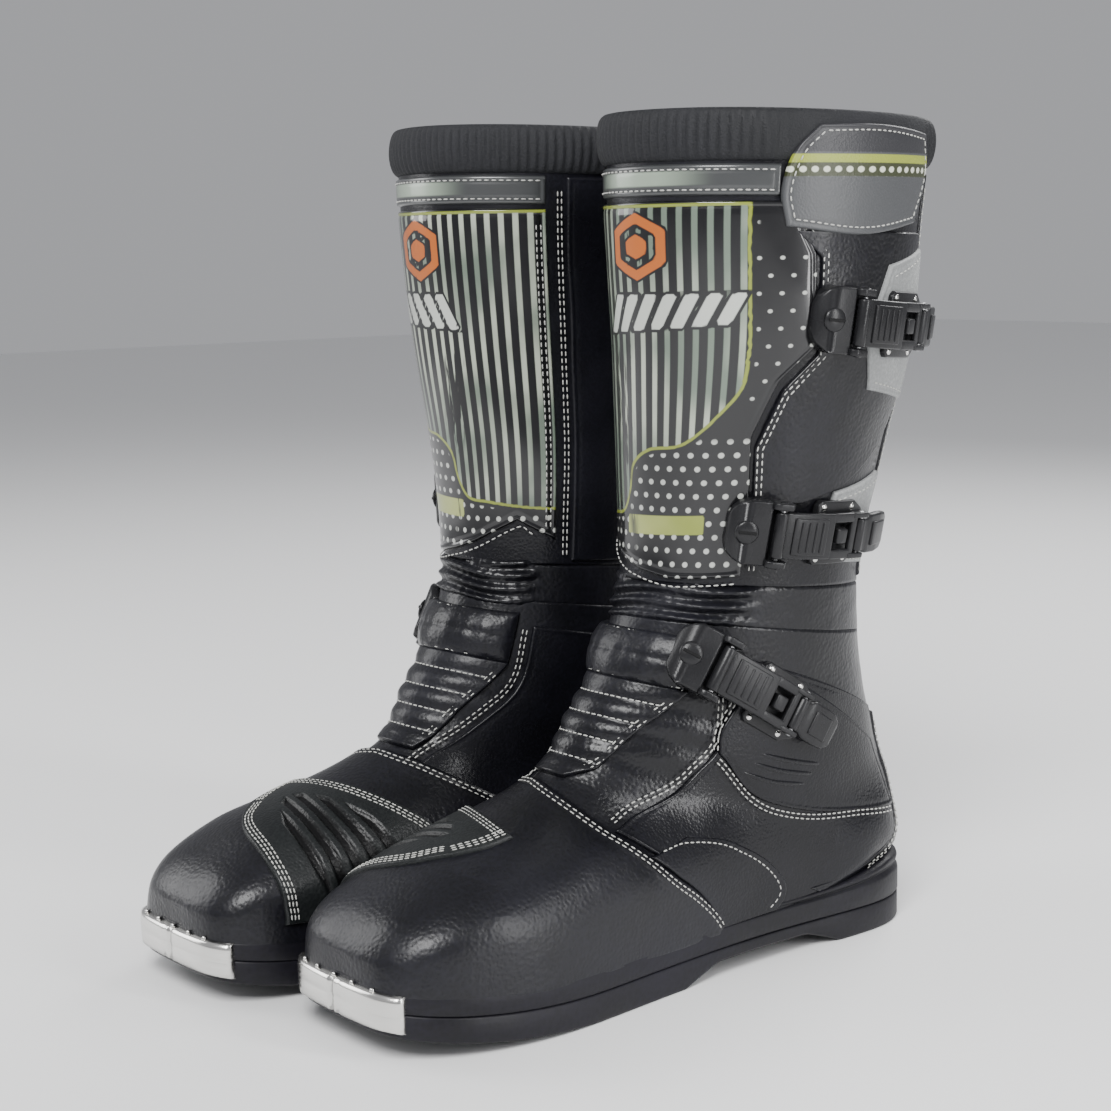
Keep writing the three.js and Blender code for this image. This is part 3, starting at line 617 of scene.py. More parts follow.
def bandMaterial():
    # satin band round the top: a grey-green bar that fades out, on dark grey
    made, tree, shader = newMaterial("topBandPrint")
    across, up = attributeValue(tree, "acrossMm"), attributeValue(tree, "heightMm")
    bar = mathNode(tree, "MULTIPLY", smoothMask(tree, up, 344.5, 345.5), smoothMask(tree, up, 351.5, 350.5))
    fade = smoothMask(tree, mathNode(tree, "ABSOLUTE", across), 34.0, 8.0)
    color = mixColor(tree, mathNode(tree, "MULTIPLY", bar, fade), (0.035, 0.037, 0.038), (0.24, 0.29, 0.23))
    tree.links.new(color, shader.inputs["Base Color"])
    shader.inputs["Roughness"].default_value = 0.34
    shader.inputs["Coat Weight"].default_value = 0.5
    shader.inputs["Coat Roughness"].default_value = 0.15
    coords = addNode(tree, "ShaderNodeTexCoord")
    ripple = addNode(tree, "ShaderNodeTexNoise")
    ripple.inputs["Scale"].default_value = 80.0
    tree.links.new(coords.outputs["Object"], ripple.inputs["Vector"])
    bumpInto(tree, shader, ripple.outputs["Fac"], 0.2, 0.001)
    return made


def tabMaterial():
    # side tab: dark top, a lime strip with a checker of dots under it, grey below
    made, tree, shader = newMaterial("sideTabPrint")
    across, up = attributeValue(tree, "acrossMm"), attributeValue(tree, "heightMm")
    color = mixColor(tree, smoothMask(tree, up, 357.5, 358.2), (0.055, 0.057, 0.06), (0.02, 0.02, 0.023))
    ground = mathNode(tree, "MULTIPLY", smoothMask(tree, up, 347.6, 348.0),
                      smoothMask(tree, up, 356.4, 356.0))
    color = mixColor(tree, ground, color, (0.03, 0.035, 0.012))
    dots = mathNode(tree, "MULTIPLY", dotMask(tree, across, up, 4.2, 1.25), ground)
    color = mixColor(tree, dots, color, (0.58, 0.6, 0.5))
    strip = mathNode(tree, "MULTIPLY", smoothMask(tree, up, 353.2, 353.8),
                     smoothMask(tree, up, 357.2, 356.8))
    color = mixColor(tree, strip, color, (0.26, 0.3, 0.04))
    tree.links.new(color, shader.inputs["Base Color"])
    shader.inputs["Roughness"].default_value = 0.42
    coords = addNode(tree, "ShaderNodeTexCoord")
    ripple = addNode(tree, "ShaderNodeTexVoronoi")
    ripple.inputs["Scale"].default_value = 900.0
    tree.links.new(coords.outputs["Object"], ripple.inputs["Vector"])
    bumpInto(tree, shader, ripple.outputs["Distance"], 0.2, 0.0004)
    return made


bandPrint = bandMaterial()
tabPrint = tabMaterial()
print("materials ready")


# stitches, edges and seams

stitchRows = {}


def alongPath(points, pitch):
    # places, directions and share along a line of points at an even pitch
    step = np.linalg.norm(np.diff(points, axis=0), axis=1)
    length = np.concatenate([[0], np.cumsum(step)])
    count = max(int(length[-1] / pitch), 2)
    at = (np.arange(count) + 0.5) / count * length[-1]
    middle = np.stack([np.interp(at, length, points[:, k]) for k in range(3)], -1)
    ahead = np.stack([np.interp(at + 0.5, length, points[:, k]) for k in range(3)], -1)
    behind = np.stack([np.interp(at - 0.5, length, points[:, k]) for k in range(3)], -1)
    return middle, unit(ahead - behind), at / length[-1]


def smoothLine(knots, count=160):
    # a smooth line through knots given as (station, degrees)
    knots = np.asarray(knots, float)
    rows = splineRows(knots, np.linspace(0, len(knots) - 1, count))
    return rows[:, 0], rows[:, 1]


def stitch(body, knots, off=0.35, pitch=3.3, shift=0.0, smooth=True):
    # a row of stitches along a line on the skin, moved sideways by shift mm
    if smooth:
        s, a = smoothLine(knots)
    else:
        s, a = np.asarray(knots, float).T
    points = skin(s, a, np.full(s.shape, off))
    normal = skinNormal(s, a)
    if shift:
        points = points + np.cross(unit(np.gradient(points, axis=0)), normal) * shift
    middle, ahead, share = alongPath(points, pitch)
    at = np.linspace(0, 1, len(s))
    out = unit(np.stack([np.interp(share, at, normal[:, k]) for k in range(3)], -1))
    stitchRows.setdefault(body, []).append((middle, ahead, out))


def stitchMesh(name, side, rows, material):
    # every stitch is a small spindle, half sunk, 2.5 long and 0.7 wide
    middle = np.concatenate([r[0] for r in rows])
    ahead = np.concatenate([r[1] for r in rows])
    out = np.concatenate([r[2] for r in rows])
    cross = unit(np.cross(ahead, out))
    out = np.cross(cross, ahead)
    turn = np.arange(5) / 5 * 2 * math.pi
    template = [(-1.25, 0, 0)]
    for along in (-0.75, 0.75):
        template += [(along, 0.35 * math.sin(t), 0.3 * math.cos(t)) for t in turn]
    template.append((1.25, 0, 0))
    template = np.array(template)
    points = (middle[:, None] + template[None, :, 0:1] * ahead[:, None]
              + template[None, :, 1:2] * cross[:, None] + template[None, :, 2:3] * out[:, None])
    n, m = len(middle), len(template)
    k = np.arange(5)
    quads = np.stack([1 + k, 1 + (k + 1) % 5, 6 + (k + 1) % 5, 6 + k], -1)
    triangles = np.concatenate([np.stack([1 + (k + 1) % 5, 1 + k, np.zeros(5, int)], -1),
                                np.stack([6 + k, 6 + (k + 1) % 5, np.full(5, 11)], -1)])
    start = np.arange(n)[:, None, None] * m
    return addMesh(name, side, points.reshape(-1, 3),
                   [(quads[None] + start).reshape(-1, 4), (triangles[None] + start).reshape(-1, 3)],
                   material)


# panels laid on the skin

def crowded(length, step):
    # places from 0 to 1 along a side of this length, close together near both ends
    near = np.array([0, 0.3, 0.75, 1.3, 1.9, 2.5, 3.1, 3.9])
    if length < 14:
        return np.linspace(0, 1, 15)
    inner = np.arange(near[-1] + step, length - near[-1] - step * 0.5, step)
    return np.concatenate([near, inner, (length - near)[::-1]]) / length


def panel(name, side, where, low, high, material, step=2.0, groove=2.7, grooveDepth=0.3, puff=0.0,
          round_=1.2, relief=None, uneven=0.12, fields=None, seed=1):
    # a closed piece of leather on the skin, its edge rounded down, a stitch groove beside the edge
    u, v = np.meshgrid(np.linspace(0, 1, 30), np.linspace(0, 1, 30), indexing="ij")
    s, a = where(u, v)
    rough = skin(s, a, np.full(s.shape, high))
    lengthU = np.linalg.norm(np.diff(rough, axis=0), axis=-1).sum(0).max()
    lengthV = np.linalg.norm(np.diff(rough, axis=1), axis=-1).sum(1).max()
    u, v = np.meshgrid(crowded(lengthU, step), crowded(lengthV, step), indexing="ij")
    s, a = where(u, v)
    base = skin(s, a, np.full(s.shape, low))
    stepU = np.linalg.norm(np.diff(base, axis=0), axis=-1)
    stepV = np.linalg.norm(np.diff(base, axis=1), axis=-1)
    runU = np.concatenate([np.zeros((1, s.shape[1])), np.cumsum(stepU, 0)])
    runV = np.concatenate([np.zeros((s.shape[0], 1)), np.cumsum(stepV, 1)], 1)
    edge = np.minimum(np.minimum(runU, runU[-1:] - runU), np.minimum(runV, runV[:, -1:] - runV))
    rise = np.sqrt(np.clip(1 - (1 - np.clip(edge / round_, 0, 1)) ** 2, 0, 1))
    off = low + (high - low) * rise
    off = off + puff * (1 - np.exp(-edge / 9)) * rise
    if groove:
        off = off - grooveDepth * np.exp(-((edge - groove) / 0.6) ** 2)
    off = off + uneven * wobble(base, 55, seed) * rise
    if relief is not None:
        off = off + relief(s, a, edge, base) * rise
    off = np.maximum(off, low + 0.02)
    top = skin(s, a, off)
    points, quads = shell(top, base)
    values = None
    if fields is not None:
        made = fields(s, a, top)
        values = {key: np.concatenate([value.ravel(), value.ravel()]) for key, value in made.items()}
    return addMesh(name + "_" + bootName(side), side, points, [quads], material, values)


def edgeLine(points):
    # degrees as a function of station through the given points
    table = np.array(points, float)
    return lambda s: np.interp(s, table[:, 0], table[:, 1])


def box(fromStation, toStation, fromDegrees, toDegrees):
    return lambda u, v: (fromStation + (toStation - fromStation) * u,
                         fromDegrees + (toDegrees - fromDegrees) * v)


def fourSides(top, bottom, left, right):
    # a patch between four lines of (station, degrees): top and bottom run left to right, the sides run down
    def at(knots, t):
        return splineRows(np.asarray(knots, float), t * (len(knots) - 1))

    def where(u, v):
        t, b, l, r = at(top, v), at(bottom, v), at(left, u), at(right, u)
        uu, vv = u[..., None], v[..., None]
        c00, c01 = np.array(top[0], float), np.array(top[-1], float)
        c10, c11 = np.array(bottom[0], float), np.array(bottom[-1], float)
        p = ((1 - uu) * t + uu * b + (1 - vv) * l + vv * r
             - ((1 - uu) * (1 - vv) * c00 + (1 - uu) * vv * c01 + uu * (1 - vv) * c10 + uu * vv * c11))
        return p[..., 0], p[..., 1]
    return where


def ride(piece, side, part):
    name = "feet" if part == "feet" else bootName(side) + "_" + part
    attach(piece, name)
    return piece


def standsFor(piece, side, *nodes):
    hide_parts(*[bootName(side) + "_" + n for n in nodes])


# walls

vampEdge = edgeLine([[-180, 10.6], [-90, 9.95], [-30, 9.62], [-3, 9.58], [50, 10.25], [84, 10.45],
                     [141, 10.7], [180, 10.7]])


def bootWall(fromStation, toStation, outer, inner, seed, columns=150, rowStep=0.05, nose=False):
    # the boot's wall between two stations, open at its ends, or closed at the nose
    rows = int((toStation - fromStation) / rowStep)
    s, a = np.meshgrid(np.linspace(fromStation, toStation, rows), np.arange(columns) / columns * 360 - 180,
                       indexing="ij")
    off = np.full(s.shape, outer)
    place = skinPoint(s, a)
    off = off + 0.35 * wobble(place, 70, seed)
    creases = (0.5 * np.exp(-((s - 7.8) / 1.2) ** 2)
               * np.sin(s * 9 + 1.4 * np.sin(np.radians(a) * 2)) * (s > 6))
    off = off + creases
    if nose:
        beyond = (s - vampEdge(a)) * 17
        lift = np.clip((beyond + 0.2) / 1.3, 0, 1)
        off = off + 2.4 * lift ** 0.6 - 0.3 * np.exp(-((beyond - 3.6) / 0.7) ** 2)
    outside = skinPoint(s, a) + skinNormal(s, a) * off[..., None]
    inside = skinPoint(np.minimum(s, 15.6), a) + skinNormal(np.minimum(s, 15.6), a) * inner
    count = rows * columns
    if not nose:
        points, quads = shell(outside, inside, True)
        kind = np.zeros(len(quads), int)
        each = (rows - 1) * columns
        kind[each:2 * each] = 1
        return points, [quads], kind
    tipOut = outside[-1].mean(0) + np.array([0, -0.3, 0])
    tipIn = inside[-1].mean(0)
    points = np.concatenate([outside.reshape(-1, 3), inside.reshape(-1, 3), [tipOut, tipIn]])
    quads = [gridQuads(rows, columns, True), gridQuads(rows, columns, True, count)[:, ::-1]]
    j = np.arange(columns)
    quads.append(np.stack([j, j + count, (j + 1) % columns + count, (j + 1) % columns], -1))
    last = (rows - 1) * columns + j
    triangles = np.concatenate([capTriangles(last, 2 * count),
                                capTriangles(last + count, 2 * count + 1, True)])
    quads = np.concatenate(quads)
    kind = np.zeros(len(quads) + len(triangles), int)
    each = (rows - 1) * columns
    kind[each:2 * each] = 1
    kind[len(quads) + columns:] = 1
    return points, [quads, triangles], kind


legWall = {"top": -0.05, "bottom": 4.78, "outer": -1.6, "inner": -5.0}
footWall = {"top": 5.5, "bottom": 16.75, "outer": -1.6, "inner": -5.0}


def buildWalls(side):
    points, faces, kind = bootWall(legWall["top"], legWall["bottom"], legWall["outer"], legWall["inner"], 3)
    wall = addMesh("legWall_" + bootName(side), side, points, faces, leather, second=(lining, kind))
    ride(wall, side, "leg")
    standsFor(wall, side, "shaft")
    points, faces, kind = bootWall(footWall["top"], footWall["bottom"], footWall["outer"],
                                   footWall["inner"], 4, 200, 0.052, True)
    wall = addMesh("footWall_" + bootName(side), side, points, faces, softLeather, second=(lining, kind))
    ride(wall, side, "feet")
    standsFor(wall, side, "quarters", "vamp")


# pleated gusset at the ankle

gusset = {"top": 4.62, "bottom": 5.7, "pleats": 4.0, "depth": 1.5}


def buildGusset(side):
    # cross pleats: a sine down the leg, strongest at the front and flat at the back, with thin
    # gathers across them
    rows, columns = 72, 200
    s, a = np.meshgrid(np.linspace(gusset["top"], gusset["bottom"], rows),
                       np.arange(columns) / columns * 360 - 180, indexing="ij")
    share = (s - gusset["top"]) / (gusset["bottom"] - gusset["top"])
    reach = np.clip((62 - np.abs(a - 8)) / 12, 0, 1)
    front = reach * reach * (3 - 2 * reach)
    wave = np.sin(share * gusset["pleats"] * 2 * math.pi + 1.6 * np.sin(np.radians(a) * 2.3)
                  + 0.9 * np.sin(np.radians(a) * 5.1 + 1) + 0.5)
    wave = wave * (0.75 + 0.35 * np.sin(np.radians(a) * 7 + share * 5))
    gathers = np.sin(np.radians(a) * 58 + 2.2 * np.sin(share * 9))
    hold = np.clip(np.minimum(share, 1 - share) / 0.1, 0, 1)
    slack = 0.5 * wobble(skinPoint(s, a), 30, 14)
    off = (-1.7 + (gusset["depth"] * wave + 0.3 * gathers + 1.1 + slack) * front * hold
           + 0.3 * (1 - front) * slack)
    off = off - 1.4 * np.clip((0.2 - np.minimum(share, 1 - share)) / 0.09, 0, 1)
    outside = skin(s, a, off)
    inside = skin(s, a, np.full(s.shape, -5.2))
    points, quads = shell(outside, inside, True)
    kind = np.zeros(len(quads), int)
    each = (rows - 1) * columns
    kind[each:2 * each] = 1
    piece = addMesh("ankleGusset_" + bootName(side), side, points, [quads], softLeather,
                    second=(lining, kind))
    standsFor(piece, side, "flex_gusset")
    instepPoint, heelPoint = toWorld(skinPoint(np.array([5.56, 5.56]), np.array([0.0, 180.0])), side)
    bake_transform(piece)


# padded pieces

def swell(piece, held, pressure, cap):
    # cloth simulation: the piece is blown up from inside, its held points stay, and no point
    # moves further than cap metres
    scene = bpy.context.scene
    mesh = piece.data
    count = len(mesh.vertices)
    before = np.empty(count * 3, np.float32)
    mesh.vertices.foreach_get("co", before)
    group = piece.vertex_groups.new(name="held")
    group.add(np.flatnonzero(held).tolist(), 1.0, "REPLACE")
    cloth = piece.modifiers.new("Cloth", "CLOTH")
    cloth.settings.quality = 5
    cloth.settings.mass = 0.001
    cloth.settings.tension_stiffness = 1.0
    cloth.settings.compression_stiffness = 1.0
    cloth.settings.bending_stiffness = 0.02
    cloth.settings.use_pressure = True
    cloth.settings.uniform_pressure_force = pressure
    cloth.settings.effector_weights.gravity = 0
    cloth.settings.vertex_group_mass = "held"
    cloth.point_cache.frame_start, cloth.point_cache.frame_end = 1, 20
    for frameNumber in range(1, 21):
        scene.frame_set(frameNumber)
    solved = piece.evaluated_get(bpy.context.evaluated_depsgraph_get()).to_mesh()
    after = np.empty(count * 3, np.float32)
    solved.vertices.foreach_get("co", after)
    move = (after - before).reshape(-1, 3)
    reach = np.linalg.norm(move, axis=1, keepdims=True)
    move = move * np.minimum(1, cap / np.maximum(reach, 1e-9))
    piece.modifiers.remove(cloth)
    piece.vertex_groups.remove(group)
    scene.frame_set(1)
    mesh.vertices.foreach_set("co", (before.reshape(-1, 3) + move).ravel())
    mesh.update()
    print(piece.name, "swelled by up to", round(float(reach.max()) * 1000, 1), "mm")


# padded collar

collar = {"top": -0.12, "bottom": 0.42, "ribs": 104}


def buildCollar(side):
    # a stuffed roll: a half round rising outside and inside the wall, gathered by fine upright ribs
    rows, columns = 28, 520
    turn, a = np.meshgrid(np.linspace(0, 2 * math.pi, rows, endpoint=False),
                          np.arange(columns) / columns * 360 - 180, indexing="ij")
    middle = (collar["top"] + collar["bottom"]) / 2
    half = (collar["bottom"] - collar["top"]) / 2
    s = middle - half * np.cos(turn)
    rib = (0.6 * np.sin(np.radians(a) * collar["ribs"] + 1.5 * np.sin(np.radians(a) * 5))
           * np.clip(np.sin(turn) * 1.3 + 0.3, 0, 1))
    under = np.clip((38 - np.abs(a - 93)) / 6, 0, 1)
    off = (-2.6 + (4.6 - 1.9 * under + rib * (1 - under) + 0.4 * wobble(skinPoint(s, a), 40, 9))
           * np.sign(np.sin(turn)) * np.abs(np.sin(turn)) ** 0.8)
    ring = skin(s, a, off)
    count = rows * columns
    quads = gridQuads(rows, columns, True)
    j = np.arange(columns)
    quads = np.concatenate([quads, np.stack([(rows - 1) * columns + j,
            (rows - 1) * columns + (j + 1) % columns, (j + 1) % columns, j], -1)])
    piece = addMesh("collarRoll_" + bootName(side), side, ring.reshape(-1, 3), [quads], rimFabric)
    swell(piece, (np.sin(turn) < 0.25).ravel() | (under.ravel() > 0.5), 90.0, 0.0012)
    ride(piece, side, "leg")
    standsFor(piece, side, "collar")
    return piece


# leg panels

panelEdge = edgeLine([[0.7, 62], [1.3, 74], [2.1, 75], [2.4, 63], [2.9, 55], [3.6, 57], [4.85, 57]])
panelFoot = edgeLine([[-60, 4.3], [-40, 4.0], [-14, 4.4], [3, 4.58], [22, 4.7], [39, 4.66], [60, 4.58]])


def shinWhere(u, v):
    top, edge = 0.8, -60
    right = panelEdge(0.8 + u * 4.0)
    a = edge + (right - edge) * v
    return top + (panelFoot(a) - top) * u, a


def signedBox(x, y, cx, cy, hx, hy, lean=0.0):
    # distance to a leaning rectangle, negative inside
    x = x - cx - lean * (y - cy)
    return np.maximum(np.abs(x) - hx, np.abs(y - cy) - hy)


# the lime line round the striped field, (mm across, mm high), from the top lateral corner down to the front
limeLine = np.array([[45, 350], [45, 335], [45, 300], [45, 265], [38, 250], [24, 236], [8, 233],
                     [-1, 226], [-4, 214], [-10, 205], [-22, 203], [-45, 200], [-75, 198]], float)
shinRadius = 52.0


def shinFields(s, a, top):
    # across: mm along the ring from the front line; height: mm over the ground; inside: mm within
    # the lime line; the rest are distances to a shape's edge, negative inside it
    across = np.radians(a) * shinRadius
    up = top[..., 2]
    line = splineRows(limeLine, np.linspace(0, len(limeLine) - 1, 260))
    gap = np.stack([across[..., None] - line[:, 0], up[..., None] - line[:, 1]], -1)
    far = np.sqrt((gap ** 2).sum(-1))
    nearest = far.argmin(-1)
    ahead = unit(np.gradient(line, axis=0))[nearest]
    offset = np.take_along_axis(gap, nearest[..., None, None], -2)[..., 0, :]
    inside = far.min(-1) * np.sign(offset[..., 0] * ahead[..., 1] - offset[..., 1] * ahead[..., 0])
    inside = np.minimum(inside, 337 - up)
    sash = np.maximum(np.abs(up - 199.5 - 0.03 * across) - 4.2, np.maximum(-6 - across, across - 34))
    bars = np.full(s.shape, 50.0)
    for k in range(7):
        bars = np.minimum(bars, signedBox(across, up, -10 + k * 8.2, 291.5 + 0.35 * k, 2.6, 8.2 - 0.25 * k,
                                          0.45))
    def hexagon(cx, cy, radius_):
        x, y = np.abs(across - cx), np.abs(up - cy)
        return np.maximum(x, 0.5 * x + 0.866 * y) - radius_
    wing = np.minimum(np.abs(hexagon(4, 320, 10.5)) - 1.9, hexagon(4, 320, 4.6))
    scuff = np.abs(across + 8 + (up - 250) * 0.12) - np.interp(up, [222, 238, 268, 280], [3, 8, 7, 0])
    return {"acrossMm": across, "heightMm": up, "insideMm": inside, "sashMm": sash, "barsMm": bars,
            "badgeMm": wing, "scuffMm": scuff}


def bandFields(s, a, top):
    return {"acrossMm": np.radians(a - 5) * 58, "heightMm": top[..., 2] - 0.0}


def buildLegPanels(side):
    shin = panel("shinPanel", side, shinWhere, -1.9, 0.1, printed, step=2.2, grooveDepth=0.35, uneven=0.35,
                 fields=shinFields, seed=5)
    ride(shin, side, "leg")
    standsFor(shin, side, "shin_panel")
    for shift in (-3.0, -5.2):
        stitch((side, "leg"), [[0.95, 63], [1.3, 74], [2.1, 75], [2.4, 63], [2.9, 55], [3.6, 57],
                               [4.5, 57]], 0.15, shift=shift, smooth=False)
        stitch((side, "leg"), [[0.95, -60], [2, -60], [3, -60], [4.1, -60]], 0.15, shift=shift)
    stitch((side, "leg"), [[4.12, -50], [4.0, -40], [4.4, -14], [4.58, 3], [4.7, 22], [4.66, 39],
                           [4.6, 54]], 0.15, shift=3.0)

    band = panel("topBand", side, box(0.44, 0.76, -60, 60), -1.9, 0.0, bandPrint, step=2.2, uneven=0.2,
                 fields=bandFields, seed=6)
    ride(band, side, "leg")
    standsFor(band, side, "top_band")
    stitch((side, "leg"), [[0.5, -58], [0.5, 0], [0.5, 58]], 0.1)
    stitch((side, "leg"), [[0.7, -58], [0.7, 0], [0.7, 58]], 0.1)

    def tabFields(s, a, top):
        return {"acrossMm": np.radians(a) * 58, "heightMm": top[..., 2]}
    tab = panel("sideTab", side, fourSides(
        [(0.03, 72), (0.0, 95), (0.05, 122)], [(1.04, 62), (1.1, 90), (0.98, 118)],
        [(0.03, 72), (0.3, 64), (0.7, 60), (1.04, 62)], [(0.05, 122), (0.5, 126), (0.98, 118)]),
        -0.9, 1.5, tabPrint, step=2.2, fields=tabFields, seed=7)
    ride(tab, side, "leg")
    standsFor(tab, side, "top_tab")
    stitch((side, "leg"), [[0.1, 74], [0.07, 95], [0.12, 120]], 1.55)
    stitch((side, "leg"), [[0.97, 64.5], [1.03, 90], [0.92, 116]], 1.55)
    stitch((side, "leg"), [[0.1, 73.5], [0.34, 66.5], [0.7, 62.8], [0.97, 64.5]], 1.55)
    stitch((side, "leg"), [[0.12, 120], [0.5, 123.5], [0.92, 116]], 1.55)

    flapFront = edgeLine([[1.0, 62], [1.3, 75.5], [2.1, 76.5], [2.4, 64.5], [2.9, 56.5], [3.5, 58.5]])
    flapBack = edgeLine([[1.06, 133], [2.3, 134], [2.9, 123], [3.3, 102], [3.55, 78]])

    def flapWhere(u, v):
        s = 1.06 + 2.46 * u
        front, back = flapFront(s), flapBack(s)
        return s, front + (back - front) * v
    flap = panel("closureFlap", side, flapWhere, -1.8, 0.2, softLeather, step=2.2, uneven=0.5, groove=0,
                 seed=8)
    ride(flap, side, "leg")
    standsFor(flap, side, "closure_flap")

    upper = panel("upperPatch", side, fourSides([(1.35, 104), (1.2, 131)], [(2.4, 100), (2.5, 131)],
            [(1.35, 104), (1.9, 96), (2.4, 100)], [(1.2, 131), (2.5, 131)]), -0.6, 1.7, patchLeather,
            step=2.4, seed=9)
    ride(upper, side, "leg")
    standsFor(upper, side, "upper_patch")
    middle = panel("middlePatch", side, fourSides([(3.4, 96), (3.2, 134)], [(4.35, 92), (4.45, 134)],
            [(3.4, 96), (4.35, 92)], [(3.2, 134), (4.45, 134)]), -1.9, 0.5, patchLeather, step=2.4, seed=10)
    ride(middle, side, "leg")
    standsFor(middle, side, "middle_patch")
    for row in ([[1.45, 106], [1.28, 129]], [[2.33, 102], [2.43, 129]]):
        stitch((side, "leg"), row, 1.75, pitch=3.6)
    for row in ([[3.5, 97.5], [3.3, 132]], [[4.27, 94], [4.38, 132]]):
        stitch((side, "leg"), row, 0.55, pitch=3.6)

    calf = panel("calfPanel", side, box(0.45, 4.7, 138, 292), -2.0, -0.3, leather, step=2.6, uneven=0.6,
                 seed=11)
    ride(calf, side, "leg")
    for shift in (-2.8, -4.8):
        stitch((side, "leg"), [[0.6, 138], [2.5, 138], [4.6, 138]], -0.2, shift=-shift)
        stitch((side, "leg"), [[0.6, -68], [2.5, -68], [4.6, -68]], -0.2, shift=shift)
    stitch((side, "leg"), [[0.6, 180], [2.5, 180], [4.6, 180]], -0.25, shift=1.6)
    stitch((side, "leg"), [[0.6, 180], [2.5, 180], [4.6, 180]], -0.25, shift=-1.6)


# foot panels

instep = {"top": 5.75, "bottom": 6.92, "left": -45, "right": 44}
flexLateral = edgeLine([[6.9, 46], [7.9, 34], [8.95, 24], [9.35, 12]])
flexMedial = edgeLine([[6.9, -45], [7.45, -40], [9.3, -21]])


def flexRelief(s, a, edge, base):
    # four puffed segments between transverse seams
    seams = np.array([7.3, 7.8, 8.3, 8.8])
    far = np.min(np.abs(s[..., None] - seams - 0.02 * np.sin(np.radians(a)[..., None] * 3)), -1)
    return 1.5 * np.clip(far / 0.2, 0, 1) ** 0.7 - 0.5


def padSlots(s, a):
    # 1 in the slanted slots across the pad, which end on the leaf shaped line round them
    lane = ((s - 11.0) + 0.0065 * (a + 40)) * 3.3
    wave = np.abs((lane % 1) - 0.5) * 2
    slot = np.clip((0.62 - wave) / 0.16, 0, 1)
    middle = 12.1 - 0.0025 * (a + 40)
    leaf = np.interp(a, [-104, -96, -55, -25, -5, 6], [0.5, 0.75, 0.8, 0.62, 0.3, -0.2])
    return slot * np.clip((leaf - np.abs(s - middle)) / 0.08, 0, 1) * np.clip((a + 101) / 4, 0, 1)


def shiftRelief(s, a, edge, base):
    return 0.55 - 1.5 * padSlots(s, a)


def shiftFields(s, a, top):
    return {"slotMask": padSlots(s, a)}


def louvre(name, side, knots, width, height):
    # a raised bar along a line on the skin, round in section
    s, a = smoothLine(knots, 40)
    points = skin(s, a, np.full(s.shape, 0.2))
    normal = skinNormal(s, a)
    ahead = unit(np.gradient(points, axis=0))
    cross = unit(np.cross(ahead, normal))
    share = np.linspace(-1, 1, 40)
    narrow = np.sqrt(np.clip(1 - share ** 4, 0.02, 1))[:, None, None]
    turn = np.linspace(0, 2 * math.pi, 14, endpoint=False)
    ring = (cross[:, None] * np.cos(turn)[None, :, None] * width / 2 + normal[:, None]
            * (np.sin(turn)[None, :, None] * height)) * narrow
    grid = points[:, None] + ring
    n = 40
    points = np.concatenate([grid.reshape(-1, 3), points[:1], points[-1:]])
    faces = [gridQuads(n, 14, True), capTriangles(np.arange(14), n * 14, True),
             capTriangles((n - 1) * 14 + np.arange(14), n * 14 + 1)]
    piece = addMesh(name + "_" + bootName(side), side, points, faces, leather)
    return ride(piece, side, "feet")


